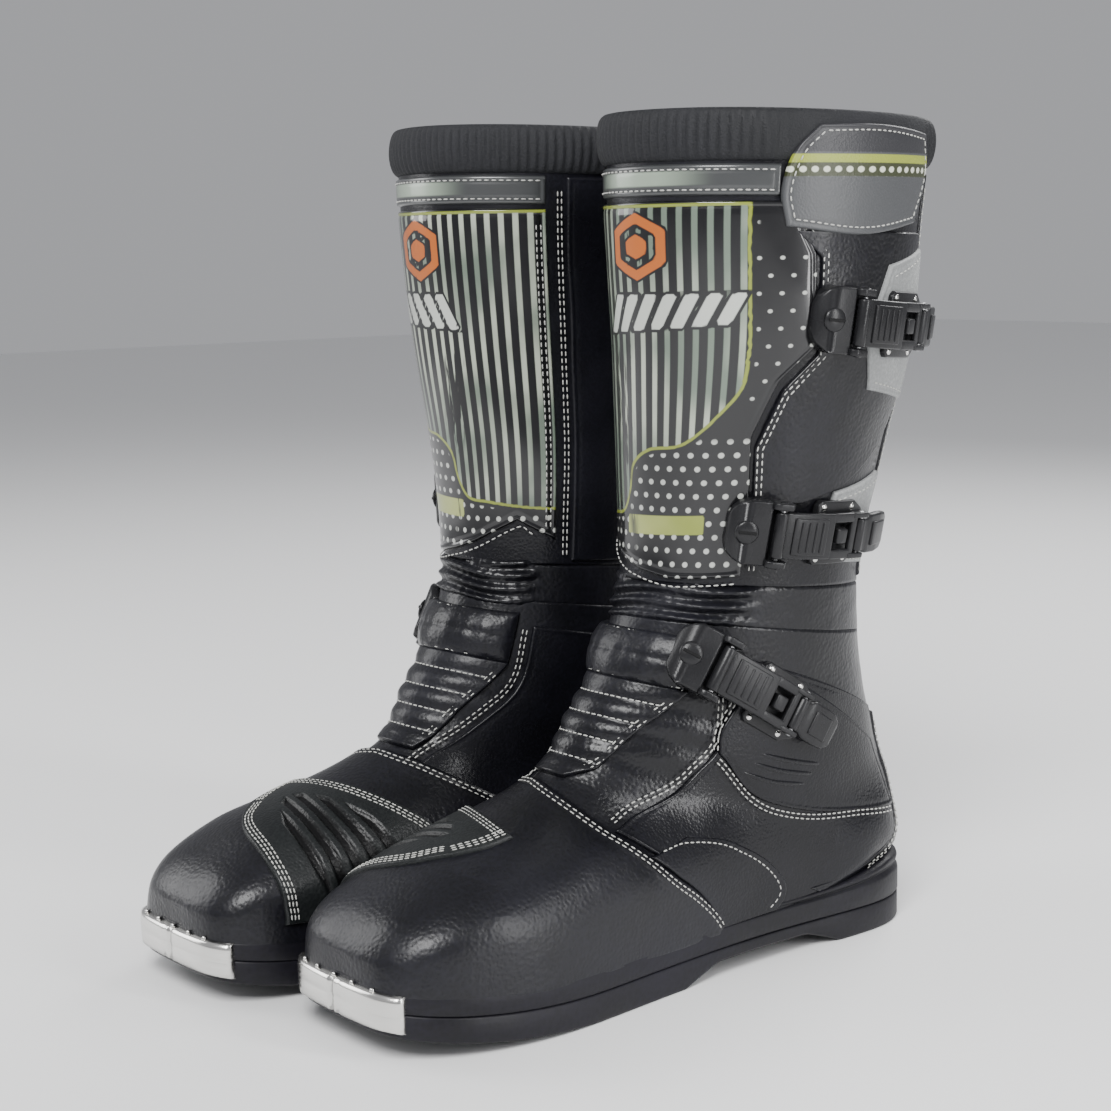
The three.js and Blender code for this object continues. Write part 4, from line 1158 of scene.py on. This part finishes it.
def buildFootPanels(side):
    feet = (side, "feet")

    def flexWhere(u, v):
        s = 6.86 + 2.5 * u
        left, right = flexMedial(s), flexLateral(s)
        return s, left + (right - left) * v
    flex = panel("flexPanel", side, flexWhere, -1.8, 0.0, softLeather, step=1.6, relief=flexRelief,
                 groove=0, uneven=0.2, seed=21)
    ride(flex, side, "feet")
    for s in (7.3, 7.8, 8.3, 8.8):
        left, right = float(flexMedial(s)) + 4, float(flexLateral(s)) - 4
        stitch(feet, [[s, left], [s, (left + right) / 2], [s, right]], -0.1, pitch=2.9)
    for shift in (1.6, 3.6):
        stitch(feet, [[6.95, 46], [7.9, 34], [8.95, 24], [9.3, 12]], 0.25, shift=shift)
        stitch(feet, [[6.95, -45], [7.45, -40], [9.25, -21]], 0.25, shift=-shift)

    quarter = panel("quarterOverlay", side, fourSides(
        [(6.0, 58), (6.6, 140)], [(10.2, 52), (10.65, 139)],
        [(6.0, 58), (7.75, 64), (8.6, 59), (9.6, 52), (10.2, 52)], [(6.6, 140), (8.4, 150), (10.65, 139)]),
        -1.8, 0.1, leather, step=2.4, uneven=0.45, seed=22)
    ride(quarter, side, "feet")
    for shift in (2.8, 4.8):
        stitch(feet, [[6.1, 58.5], [7.75, 64], [8.6, 59], [9.6, 52], [10.15, 52]], 0.15, shift=shift)
    medial = panel("medialOverlay", side, fourSides(
        [(6.0, -140), (6.0, -52)], [(10.3, -139), (10.2, -30)],
        [(6.0, -140), (8.0, -150), (10.3, -139)], [(6.0, -52), (7.6, -50), (9.2, -31), (10.2, -30)]),
        -1.8, 0.0, leather, step=2.4, uneven=0.45, seed=23)
    ride(medial, side, "feet")
    for shift in (2.8, 4.8):
        stitch(feet, [[6.1, -52], [7.6, -50], [9.2, -31], [10.15, -30]], 0.1, shift=-shift)

    counter = panel("heelCounter", side, fourSides(
        [(6.7, 146), (6.7, 214)], [(9.9, 128), (9.9, 232)],
        [(6.7, 146), (8.4, 141), (9.9, 128)], [(6.7, 214), (8.4, 219), (9.9, 232)]),
        -1.8, 0.5, leather, step=2.6, uneven=0.4, seed=24)
    ride(counter, side, "feet")
    for shift in (2.8, 4.8):
        stitch(feet, [[6.9, 147.5], [8.4, 142], [9.2, 135.5]], 0.55, shift=-shift)
        stitch(feet, [[6.9, 212.5], [8.4, 218], [9.2, 224.5]], 0.55, shift=shift)

    small = panel("sideOverlay", side, fourSides(
        [(9.82, 72), (9.6, 86), (9.9, 112), (10.3, 136)],
        [(10.4, 72), (10.46, 86), (10.62, 112), (10.75, 136)],
        [(9.82, 72), (10.4, 72)], [(10.3, 136), (10.75, 136)]), -0.4, 0.75, leather, step=2.0, groove=0,
        uneven=0.2, seed=28)
    ride(small, side, "feet")
    stitch(feet, [[10.2, 70], [9.86, 73], [9.64, 86], [9.94, 112], [10.34, 135]], 0.8, shift=1.8)

    knots = np.linspace(-120, 128, 60)
    for shift in (2.6, 4.6):
        stitch(feet, np.stack([vampEdge(knots), knots], -1), 0.95, shift=shift, smooth=False)

    pad = panel("shiftPad", side, fourSides(
        [(11.0, -103), (10.85, -60), (10.95, -20), (11.35, 27)],
        [(13.75, -103), (13.45, -40), (13.15, -5), (12.45, 16)],
        [(11.0, -103), (12.4, -104), (13.75, -103)], [(11.35, 27), (11.9, 24), (12.45, 16)]),
        0.3, 2.2, padLeather, step=1.1, relief=shiftRelief, fields=shiftFields, uneven=0.15, groove=0,
        seed=26)
    ride(pad, side, "feet")
    standsFor(pad, side, "shift_pad")
    for shift in (1.6, 3.2, 4.8):
        stitch(feet, [[11.0, -98], [10.87, -60], [10.97, -20], [11.33, 22]], 2.75, shift=shift, pitch=2.9)
        stitch(feet, [[13.7, -98], [13.42, -40], [13.12, -5], [12.5, 12]], 2.75, shift=-shift, pitch=2.9)
        stitch(feet, [[11.4, 25.5], [11.9, 22.5], [12.42, 15]], 2.75, shift=shift, pitch=2.9)

    shield = panel("ankleShield", side, fourSides(
        [(6.1, 72), (6.5, 96), (7.15, 131)], [(8.05, 64), (8.7, 86), (8.3, 140)],
        [(6.1, 72), (6.7, 67), (7.5, 62), (8.05, 64)], [(7.15, 131), (7.7, 136), (8.3, 140)]),
        -0.4, 1.6, leather, step=1.8, uneven=0.2, seed=27)
    ride(shield, side, "feet")
    standsFor(shield, side, "ankle_shield")
    for shift in (1.8, 3.8):
        stitch(feet, [[6.15, 72], [6.7, 67], [7.5, 62.5], [8.0, 64]], 1.75, shift=shift)
        stitch(feet, [[8.05, 64.5], [8.7, 86], [8.4, 120], [8.28, 137]], 1.75, shift=shift)
    for k, knots in enumerate(([[8.15, 70], [8.2, 82], [8.1, 94]], [[7.95, 72], [7.98, 84], [7.9, 96]],
                               [[7.75, 74], [7.76, 86], [7.7, 98]])):
        louvre(f"louvre{k}", side, np.array(knots) + [0.12, 2], 3.2, 1.9)


def buildInstep(side):
    # a quilted pad, its face rising in two rolls, gathered at its long edges
    def relief(s, a, edge, base):
        across = np.abs(s - 6.33)
        return -0.9 * np.exp(-(across / 0.05) ** 2) + 0.25 * np.sin(np.radians(a) * 34)
    pad = panel("instepPad", side, box(instep["top"], instep["bottom"], instep["left"], instep["right"]),
                -1.8, 1.2, softLeather,
                step=1.7, puff=4.2, groove=0, uneven=0.5, relief=relief, seed=30)
    count = len(pad.data.vertices)
    swell(pad, np.arange(count) >= count // 2, 120.0, 0.002)
    rounder = pad.modifiers.new("Rounder", "SUBSURF")
    rounder.levels = rounder.render_levels = 1
    ride(pad, side, "feet")
    standsFor(pad, side, "instep_pad")
    for s in (5.82, 6.84):
        stitch((side, "feet"), [[s, -42], [s, 0], [s, 42]], 1.2)
    return pad


# soles

def springAt(y):
    return sole["toeSpring"] * np.clip((-110 - y) / 110, 0, 1) ** 2


def soleHeight(height, y):
    # heights shrink towards the toe, where the sole rises off the ground, and the upper edge
    # climbs at the heel
    cup = sole["heelCup"] * np.clip((y - 5) / 60, 0, 1) ** 2 * np.clip((height - 20) / 5, 0, 1)
    return height * (1 - sole["toeThin"] * np.clip((-110 - y) / 110, 0, 1) ** 2) + springAt(y) + cup


def archAt(y):
    front, back = sole["waistFront"], sole["heelBreast"]
    share = np.clip((y - front) / (back - front), 0, 1)
    return np.where((y > front) & (y < back), sole["arch"] * np.clip(np.sin(share * math.pi) * 1.6, 0, 1),
                    0)


def soleLayer(name, side, rings, material, count=260):
    # stacked rings of the outline, each (inset, height, follows the ground), closed at both ends
    # by inner rings
    points = []
    for inset, height, ground in rings:
        ring = soleRing(inset, count)[0]
        z = soleHeight(height, ring[:, 1]) + (archAt(ring[:, 1]) if ground else 0)
        points.append(np.concatenate([ring, z[:, None]], 1))
    inner = []
    for k, flat in ((0, points[0]), (-1, points[-1])):
        middle = np.stack([np.full(count, -0.5), np.clip(flat[:, 1], -185, 56), flat[:, 2]], -1)
        y = middle[:, 1]
        middle[:, 2] = soleHeight(rings[k][1], y) + (archAt(y) if rings[k][2] else 0)
        inner.append(middle)
    layers = ([inner[0]] + [points[0] * 0.4 + inner[0] * 0.6] + points
              + [points[-1] * 0.4 + inner[1] * 0.6] + [inner[1]])
    for k in (1, -2):
        y = layers[k][:, 1]
        source = rings[0] if k == 1 else rings[-1]
        layers[k][:, 2] = soleHeight(source[1], y) + (archAt(y) if source[2] else 0)
    grid = np.concatenate(layers)
    quads = gridQuads(len(layers), count, True)
    piece = addMesh(name + "_" + bootName(side), side, grid, [quads], material)
    weld(piece)
    return ride(piece, side, "feet")


def weld(piece, distance=0.00002):
    work = bmesh.new()
    work.from_mesh(piece.data)
    bmesh.ops.remove_doubles(work, verts=work.verts, dist=distance)
    bmesh.ops.dissolve_degenerate(work, edges=work.edges, dist=distance)
    bmesh.ops.recalc_face_normals(work, faces=work.faces)
    work.to_mesh(piece.data)
    work.free()


def buildSoles(side):
    outsole = soleLayer("outsole", side, [(2.2, 0.02, True), (1.2, 0.3, True), (0.8, 1.4, True),
            (0.8, 11.8, False), (1.3, 12.7, False), (2.4, 12.8, False)], rubber)
    standsFor(outsole, side, "outsole")
    midsole = soleLayer("midsole", side, [(3.0, 12.7, False), (1.2, 13.0, False), (0.6, 13.8, False),
                                          (0.6, 21.5, False), (0.9, 22.2, False),
                                          (2.2, 22.7, False), (2.4, 23.2, False), (1.4, 23.6, False),
                                          (1.0, 24.4, False), (1.5, 25.4, False), (6.5, 25.8, False)],
                                          rubber)
    standsFor(midsole, side, "midsole", "footbed")


guard = {"back": -211.5, "low": 3.2, "high": 22.5}


def buildGuard(side):
    # metal band wrapped round the toe, its top rolled over, an upright groove at the middle
    ring, inward = soleRing(0.6, 900)
    front = ring[:, 1] < guard["back"]
    order = np.argsort(np.arctan2(ring[front][:, 0], -(ring[front][:, 1] + 150)))
    line = ring[front][order]
    normal = -inward[front][order]
    line = line[::2]
    normal = normal[::2]
    n = len(line)
    span = np.linspace(-1, 1, n)
    x = line[:, 0]
    groove = 1.5 * np.exp(-((x + 1) / 1.0) ** 4) + 0.5 * np.exp(-((x - 3.5) / 0.5) ** 2)
    share = np.array([0, 0.03, 0.2, 0.44, 0.48, 0.52, 0.66, 0.82, 0.94, 0.98, 1.0])
    heights = guard["low"] + (guard["high"] - guard["low"]) * share
    bulge = np.array([1.2, 2.3, 2.6, 2.7, 2.5, 2.7, 2.8, 2.7, 2.3, 1.2, -1.8])
    ends = np.clip((1 - np.abs(span)) / 0.02, 0, 1) ** 0.5
    rows = []
    for h, b in zip(heights, bulge):
        out = (b - groove) * ends + 0.1 * (1 - ends)
        z = soleHeight(h, line[:, 1])
        rows.append(np.concatenate([line + normal * out[:, None], z[:, None]], 1))
    top = np.array(rows)
    sunk = np.where(share < 0.97, -0.8, -2.4)
    backRows = [np.concatenate([line + normal * i,
                                soleHeight(h - (0.8 if i < -2 else 0), line[:, 1])[:, None]], 1)
                for h, i in zip(heights, sunk)]
    points, quads = shell(top, np.array(backRows))
    piece = addMesh("toeGuard_" + bootName(side), side, points, [quads], nickel)
    ride(piece, side, "feet")
    standsFor(piece, side, "toe_guard")
    parts = []
    for k in np.linspace(9, n - 10, 5).astype(int):
        centre = np.array([line[k, 0], line[k, 1],
                float(soleHeight(guard["high"] + 0.3, line[k, 1]))]) + np.array([*normal[k] * 0.6, 0])
        parts.append(dome(centre, np.array([0.0, 0.0, 1.0]), 1.0, 1.1))
    points, faces = joinParts(parts)
    ride(addMesh("toeStuds_" + bootName(side), side, points, faces, nickel), side, "feet")


def dome(centre, out, radius, height, sides=12):
    # closed low dome: rings shrinking to the top, a flat bottom sunk below
    up = unit(np.cross(out, [0.2, 0.1, 0.97]))
    other = np.cross(out, up)
    turn = np.arange(sides) / sides * 2 * math.pi
    circle = np.cos(turn)[:, None] * up + np.sin(turn)[:, None] * other
    rings = [centre - out * 0.8 + circle * radius]
    for share in (0, 0.35, 0.65, 0.88):
        rings.append(centre + circle * radius * math.cos(share * math.pi / 2) + out * height
                     * math.sin(share * math.pi / 2))
    n = len(rings)
    points = np.concatenate(rings + [[centre - out * 0.8], [centre + out * height]])
    return points, [gridQuads(n, sides, True), capTriangles(np.arange(sides), n * sides, True),
                    capTriangles((n - 1) * sides + np.arange(sides), n * sides + 1)]


# buckles

def strapPath(start, end, lift):
    share = np.arange(-2, 10) / 8
    points = skin(start[0] + (end[0] - start[0]) * share, start[1] + (end[1] - start[1]) * share,
                  np.full(12, lift))
    begin, finish = points[2], points[10]
    forward = unit(finish - begin)
    middle = skinNormal(np.array((start[0] + end[0]) / 2), np.array((start[1] + end[1]) / 2.0))
    across = unit(np.cross(middle, forward))
    flat = points - ((points - begin) @ across)[:, None] * across
    dense = splineRows(flat, np.linspace(0, 11, 441))
    length = np.concatenate([[0], np.cumsum(np.linalg.norm(np.diff(dense, axis=0), axis=1))])
    zero = np.interp(80, np.arange(441), length)

    def place(a, b, n):
        a, b, n = np.broadcast_arrays(np.asarray(a, float), b, n)
        at = np.clip(a + zero, 0.3, length[-1] - 0.3)
        point = np.stack([np.interp(at, length, dense[:, k]) for k in range(3)], -1)
        ahead = np.stack([np.interp(at + 0.3, length, dense[:, k])
                          - np.interp(at - 0.3, length, dense[:, k]) for k in range(3)], -1)
        out = unit(np.cross(unit(ahead), across))
        return point + across * b[..., None] + out * n[..., None]
    return place, across


def roundBlock(place, rows, radius, corner=4):
    # a bar along the path with rounded corners and ends; rows are (a, half width, low, high)
    rows = np.asarray(rows, float)
    first, last = rows[0, 0], rows[-1, 0]
    turn = np.array([0.0, 0.35, 0.7, 1.0]) * math.pi / 2
    starts = first + radius * (1 - np.sin(turn))
    inner = [a for a in np.arange(first + radius, last - radius, 2.2)][1:]
    inner += [r for r in rows[:, 0] if first + radius < r < last - radius]
    at = np.concatenate([starts[::-1], sorted(inner), last - radius * (1 - np.sin(turn))])
    shrink = np.concatenate([(radius * (1 - np.cos(turn)))[::-1], np.zeros(len(inner)),
                             radius * (1 - np.cos(turn))])
    order = np.argsort(at, kind="stable")
    at, shrink = at[order], shrink[order]
    half = np.interp(at, rows[:, 0], rows[:, 1]) - shrink
    low = np.interp(at, rows[:, 0], rows[:, 2]) + shrink
    high = np.interp(at, rows[:, 0], rows[:, 3]) - shrink
    r = np.minimum(radius, np.minimum(half, (high - low) / 2) * 0.98) - shrink * 0.3
    r = np.maximum(r, 0.05)
    angle = np.concatenate([np.linspace(q, q + 90, corner) for q in (0, 90, 180, 270)]) * math.pi / 180
    signB = np.repeat([1, -1, -1, 1], corner)
    signN = np.repeat([1, 1, -1, -1], corner)
    midN = (low + high) / 2
    b = (half - r)[:, None] * signB + r[:, None] * np.cos(angle)
    n = midN[:, None] + ((high - low) / 2 - r)[:, None] * signN + r[:, None] * np.sin(angle)
    grid = place(np.broadcast_to(at[:, None], b.shape), b, n)
    count, sides = b.shape
    centreA = place(at[0], 0.0, midN[0])
    centreB = place(at[-1], 0.0, midN[-1])
    points = np.concatenate([grid.reshape(-1, 3), [centreA], [centreB]])
    return points, [gridQuads(count, sides, True), capTriangles(np.arange(sides), count * sides, True),
                    capTriangles((count - 1) * sides + np.arange(sides), count * sides + 1)]


def shifted(place, by):
    return lambda a, b, n: place(a, np.asarray(b) + by, n)


def crossRod(place, across, a, n, radius, fromB, toB, sides=16):
    # a rod across the path with rounded ends
    b = np.array([fromB, fromB + radius * 0.12, fromB + radius * 0.4, toB - radius * 0.4,
                  toB - radius * 0.12, toB])
    r = radius * np.array([0.7, 0.92, 1, 1, 0.92, 0.7])
    centre = place(np.full(6, a), b, np.full(6, n))
    out = unit(place(a, 0.0, n + 1) - place(a, 0.0, n))
    forward = unit(np.cross(across, out))
    turn = np.arange(sides) / sides * 2 * math.pi
    ring = centre[:, None] + r[:, None, None] * (np.cos(turn)[None, :, None] * out
                                                 + np.sin(turn)[None, :, None] * forward)
    points = np.concatenate([ring.reshape(-1, 3), centre[:1], centre[-1:]])
    return points, [gridQuads(6, sides, True), capTriangles(np.arange(sides), 6 * sides, True),
                    capTriangles(5 * sides + np.arange(sides), 6 * sides + 1)]


latches = [
    {"name": "upper", "start": (1.8, 82), "end": (1.85, 137), "lift": 0.2, "ground": 1.9, "body": "leg"},
    {"name": "middle", "start": (3.85, 61), "end": (3.85, 136), "lift": 0.2, "ground": 0.6, "body": "leg"},
    {"name": "ankle", "start": (6.2, 46), "end": (7.65, 126), "lift": 0.6, "ground": 0.6, "body": "feet"}]


def outward(part):
    # turns a part's faces out by its own volume
    points, faces = part
    if closedVolume(points, faces) < 0:
        faces = [f[:, ::-1] for f in faces]
    return points, faces


def buildLatch(side, latch):
    name, boot = latch["name"], bootName(side)
    place, across = strapPath(latch["start"], latch["end"], latch["lift"])
    outAt = lambda a: unit(place(a, 0.0, 1.0) - place(a, 0.0, 0.0))
    solid = lambda parts: joinParts([outward(p) for p in parts])

    parts = [roundBlock(place, [(-13.8, 6, -2, 2.2), (-12, 9.8, -2, 4.2), (-9.5, 12.6, -2, 5.9),
                                (-6, 14.3, -2, 6.9), (4.2, 14.3, -2, 6.9)], 1.2),
             roundBlock(place, [(2.5, 14.3, -2, 3.4), (13, 14.3, -2, 3.4)], 0.8)]
    for b in (-12.9, 12.9):
        parts.append(roundBlock(shifted(place, b),
                [(3.4, 1.5, -1, 8.4), (5.2, 1.5, -1, 10.1), (10.8, 1.5, -1, 10.1), (12.6, 1.5, -1, 8.2)],
                0.6))
    points, faces = solid(parts)
    holder = addMesh(f"{name}Holder_{boot}", side, points, faces, plastic)
    ride(holder, side, latch["body"])
    standsFor(holder, side, name + "_holder")
    screw = [outward(dome(place(-5.5, 0.0, 6.6), outAt(-5.5), 5.4, 1.3, 24))]
    for b in (-14.2, 14.2):
        screw.append(outward(dome(place(8.0, float(b), 7.0), across * (1 if b > 0 else -1), 2.2, 0.9, 14)))
    points, faces = joinParts(screw)
    ride(addMesh(f"{name}Screw_{boot}", side, points, faces, plastic), side, latch["body"])
    # the screw's slot drawn as a raised near-black bar: painted shade in place of a cut groove
    points, faces = roundBlock(place, [(-9.2, 0.7, 7.2, 8.15), (-1.8, 0.7, 7.2, 8.15)], 0.3)
    ride(addMesh(f"{name}Slot_{boot}", side, points, faces, paintedSlotShade), side, latch["body"])

    low, high = 5.7, 8.3
    rails = [crossRod(place, across, 8.0, 7.0, 2.8, -10.4, 10.4),
             roundBlock(place, [(8.6, 10.3, low, high), (12, 10.3, low, high), (27, 10.3, low, high),
                                (35, 10.3, low, high)], 0.9)]
    for b in (-8.25, 8.25):
        rails.append(roundBlock(shifted(place, b), [(33.5, 2.15, low, high), (48.6, 2.15, low, high)], 0.8))
    rails.append(roundBlock(place, [(45.4, 10.2, low, high), (48.8, 10.2, low, high)], 0.8))
    for b in (-9.2, 9.2):
        rails.append(roundBlock(shifted(place, b),
                [(45.5, 1.2, low - 0.3, high + 0.3), (54.6, 1.2, low - 0.9, high + 1.4)], 0.5))
    rails.append(roundBlock(place, [(13.5, 8.2, high - 0.4, high + 0.8),
                                    (30.5, 8.2, high - 0.4, high + 0.8)], 0.5))
    for a in (17.0, 20.5, 24.0, 27.5):
        rails.append(crossRod(place, across, a, high + 0.75, 0.65, -6.8, 6.8, 8))
    points, faces = solid(rails)
    strap = addMesh(f"{name}Strap_{boot}", side, points, faces, plastic)
    ride(strap, side, name + "_latch")
    standsFor(strap, side, name + "_strap")
    pins = solid([crossRod(place, across, 8.0, 7.0, 1.2, -11.2, 11.2, 12),
                  crossRod(place, across, 52.0, 7.0, 1.2, -10.8, 10.8, 12)])
    ride(addMesh(f"{name}Pins_{boot}", side, pins[0], pins[1], steel), side, name + "_latch")

    inside = 7.5
    paddle = [crossRod(place, across, 52.0, 7.0, 2.7, -inside, inside),
              roundBlock(place, [(51.5, inside, 5.5, 8.4), (56, inside, 5.4, 8.5), (58.5, 9, 5.4, 8.9),
                      (66, 9.2, 5.4, 9.3), (72, 8.6, 5.4, 9.1), (75.2, 6.6, 5.4, 8.8), (77, 3.6, 5.6, 8.2)],
                      1.2),
              roundBlock(place, [(60, 5.6, 8.4, 9.9), (71, 5.4, 8.4, 9.8)], 0.7)]
    points, faces = solid(paddle)
    lever = addMesh(f"{name}Lever_{boot}", side, points, faces, plastic)
    ride(lever, side, name + "_clip")
    standsFor(lever, side, name + "_lever")

    ground = latch["ground"]
    plate = [roundBlock(place, [(29, 12.5, ground - 2.5, ground + 1.5),
                                (31, 14.4, ground - 2.5, ground + 1.5),
                                (53, 14.4, ground - 2.5, ground + 1.5),
                                (60, 10.5, ground - 2.5, ground + 1.5),
                                (63, 5.5, ground - 2.5, ground + 1.4)], 0.8),
             roundBlock(place, [(37.4, 3.4, ground, 8.3), (43.2, 3.4, ground, 8.3)], 0.8)]
    points, faces = solid(plate)
    receiver = addMesh(f"{name}Receiver_{boot}", side, points, faces, plastic)
    ride(receiver, side, latch["body"])
    standsFor(receiver, side, name + "_receiver")
    rivets = joinParts([outward(dome(place(float(a), float(b), ground + 1.3), outAt(a), 1.7, 0.8))
                        for a, b in ((32.5, 11.6), (32.5, -11.6), (51, 11.6), (51, -11.6))])
    ride(addMesh(f"{name}Rivets_{boot}", side, rivets[0], rivets[1], nickel), side, latch["body"])


for side in (1, -1):
    buildWalls(side)
    buildGusset(side)
    buildCollar(side)
    buildLegPanels(side)
    buildFootPanels(side)
    buildInstep(side)
    buildSoles(side)
    buildGuard(side)
    for latch in latches:
        buildLatch(side, latch)
    for (where, part), rows in [item for item in stitchRows.items() if item[0][0] == side]:
        ride(stitchMesh(f"{part}Stitches_{bootName(side)}", side, rows, thread), side, part)
    print(bootName(side), "boot built")


# floor, light and camera

def newLight(name, place, aim, size, power, color=(1, 1, 1)):
    data = bpy.data.lights.new(name, "AREA")
    data.shape, data.size, data.size_y = "RECTANGLE", size[0], size[1]
    data.energy, data.color = power, color
    lamp = bpy.data.objects.new(name, data)
    lamp.location = place
    direction = np.array(aim, float) - np.array(place, float)
    forward = unit(direction)
    right = unit(np.cross(forward, [0, 0, 1.0]))
    up = np.cross(right, forward)
    lamp.rotation_euler = mathutils.Matrix((right, up, -forward)).transposed().to_euler()
    bpy.context.scene.collection.objects.link(lamp)


def setStage():
    mesh = bpy.data.meshes.new("floor")
    mesh.from_pydata([(-6, -6, 0), (6, -6, 0), (6, 6, 0), (-6, 6, 0)], [], [(0, 1, 2, 3)])
    floor = bpy.data.objects.new("floor", mesh)
    bpy.context.scene.collection.objects.link(floor)
    made, _, shader = newMaterial("floorPaint")
    shader.inputs["Base Color"].default_value = (0.86, 0.86, 0.86, 1)
    shader.inputs["Roughness"].default_value = 0.6
    mesh.materials.append(made)
    world = bpy.data.worlds.new("studio")
    world.use_nodes = True
    world.node_tree.nodes["Background"].inputs["Color"].default_value = (0.95, 0.96, 1.0, 1)
    world.node_tree.nodes["Background"].inputs["Strength"].default_value = 0.42
    bpy.context.scene.world = world
    newLight("keySoft", (0.9, -1.1, 1.5), (0, 0, 0.15), (0.8, 0.8), 50)
    newLight("sideSoft", (1.6, 0.6, 0.7), (0, 0, 0.2), (0.3, 1.5), 24)
    newLight("fillSoft", (-1.4, -1.0, 0.9), (0, 0, 0.2), (0.8, 1.2), 17)
    newLight("backSoft", (-0.4, 1.5, 1.3), (0, 0, 0.25), (1.2, 0.5), 22)


def setCamera():
    azimuth, pitch, roll = math.radians(52.3), math.radians(8.23), math.radians(-1.04)
    forward = np.array([-math.sin(azimuth) * math.cos(pitch), math.cos(azimuth) * math.cos(pitch),
                        -math.sin(pitch)])
    right = np.array([math.cos(azimuth), math.sin(azimuth), 0])
    up = np.cross(right, forward)
    tiltedRight = right * math.cos(roll) + up * math.sin(roll)
    tiltedUp = up * math.cos(roll) - right * math.sin(roll)
    data = bpy.data.cameras.new("camera")
    data.sensor_width = 36.0
    data.lens = 69.22
    data.clip_start = 0.01
    camera = bpy.data.objects.new("camera", data)
    camera.location = (0.7703, -0.5841, 0.3208)
    camera.rotation_euler = mathutils.Matrix((tiltedRight, tiltedUp, -forward)).transposed().to_euler()
    bpy.context.scene.collection.objects.link(camera)
    bpy.context.scene.camera = camera


setStage()
setCamera()
print("stage set")
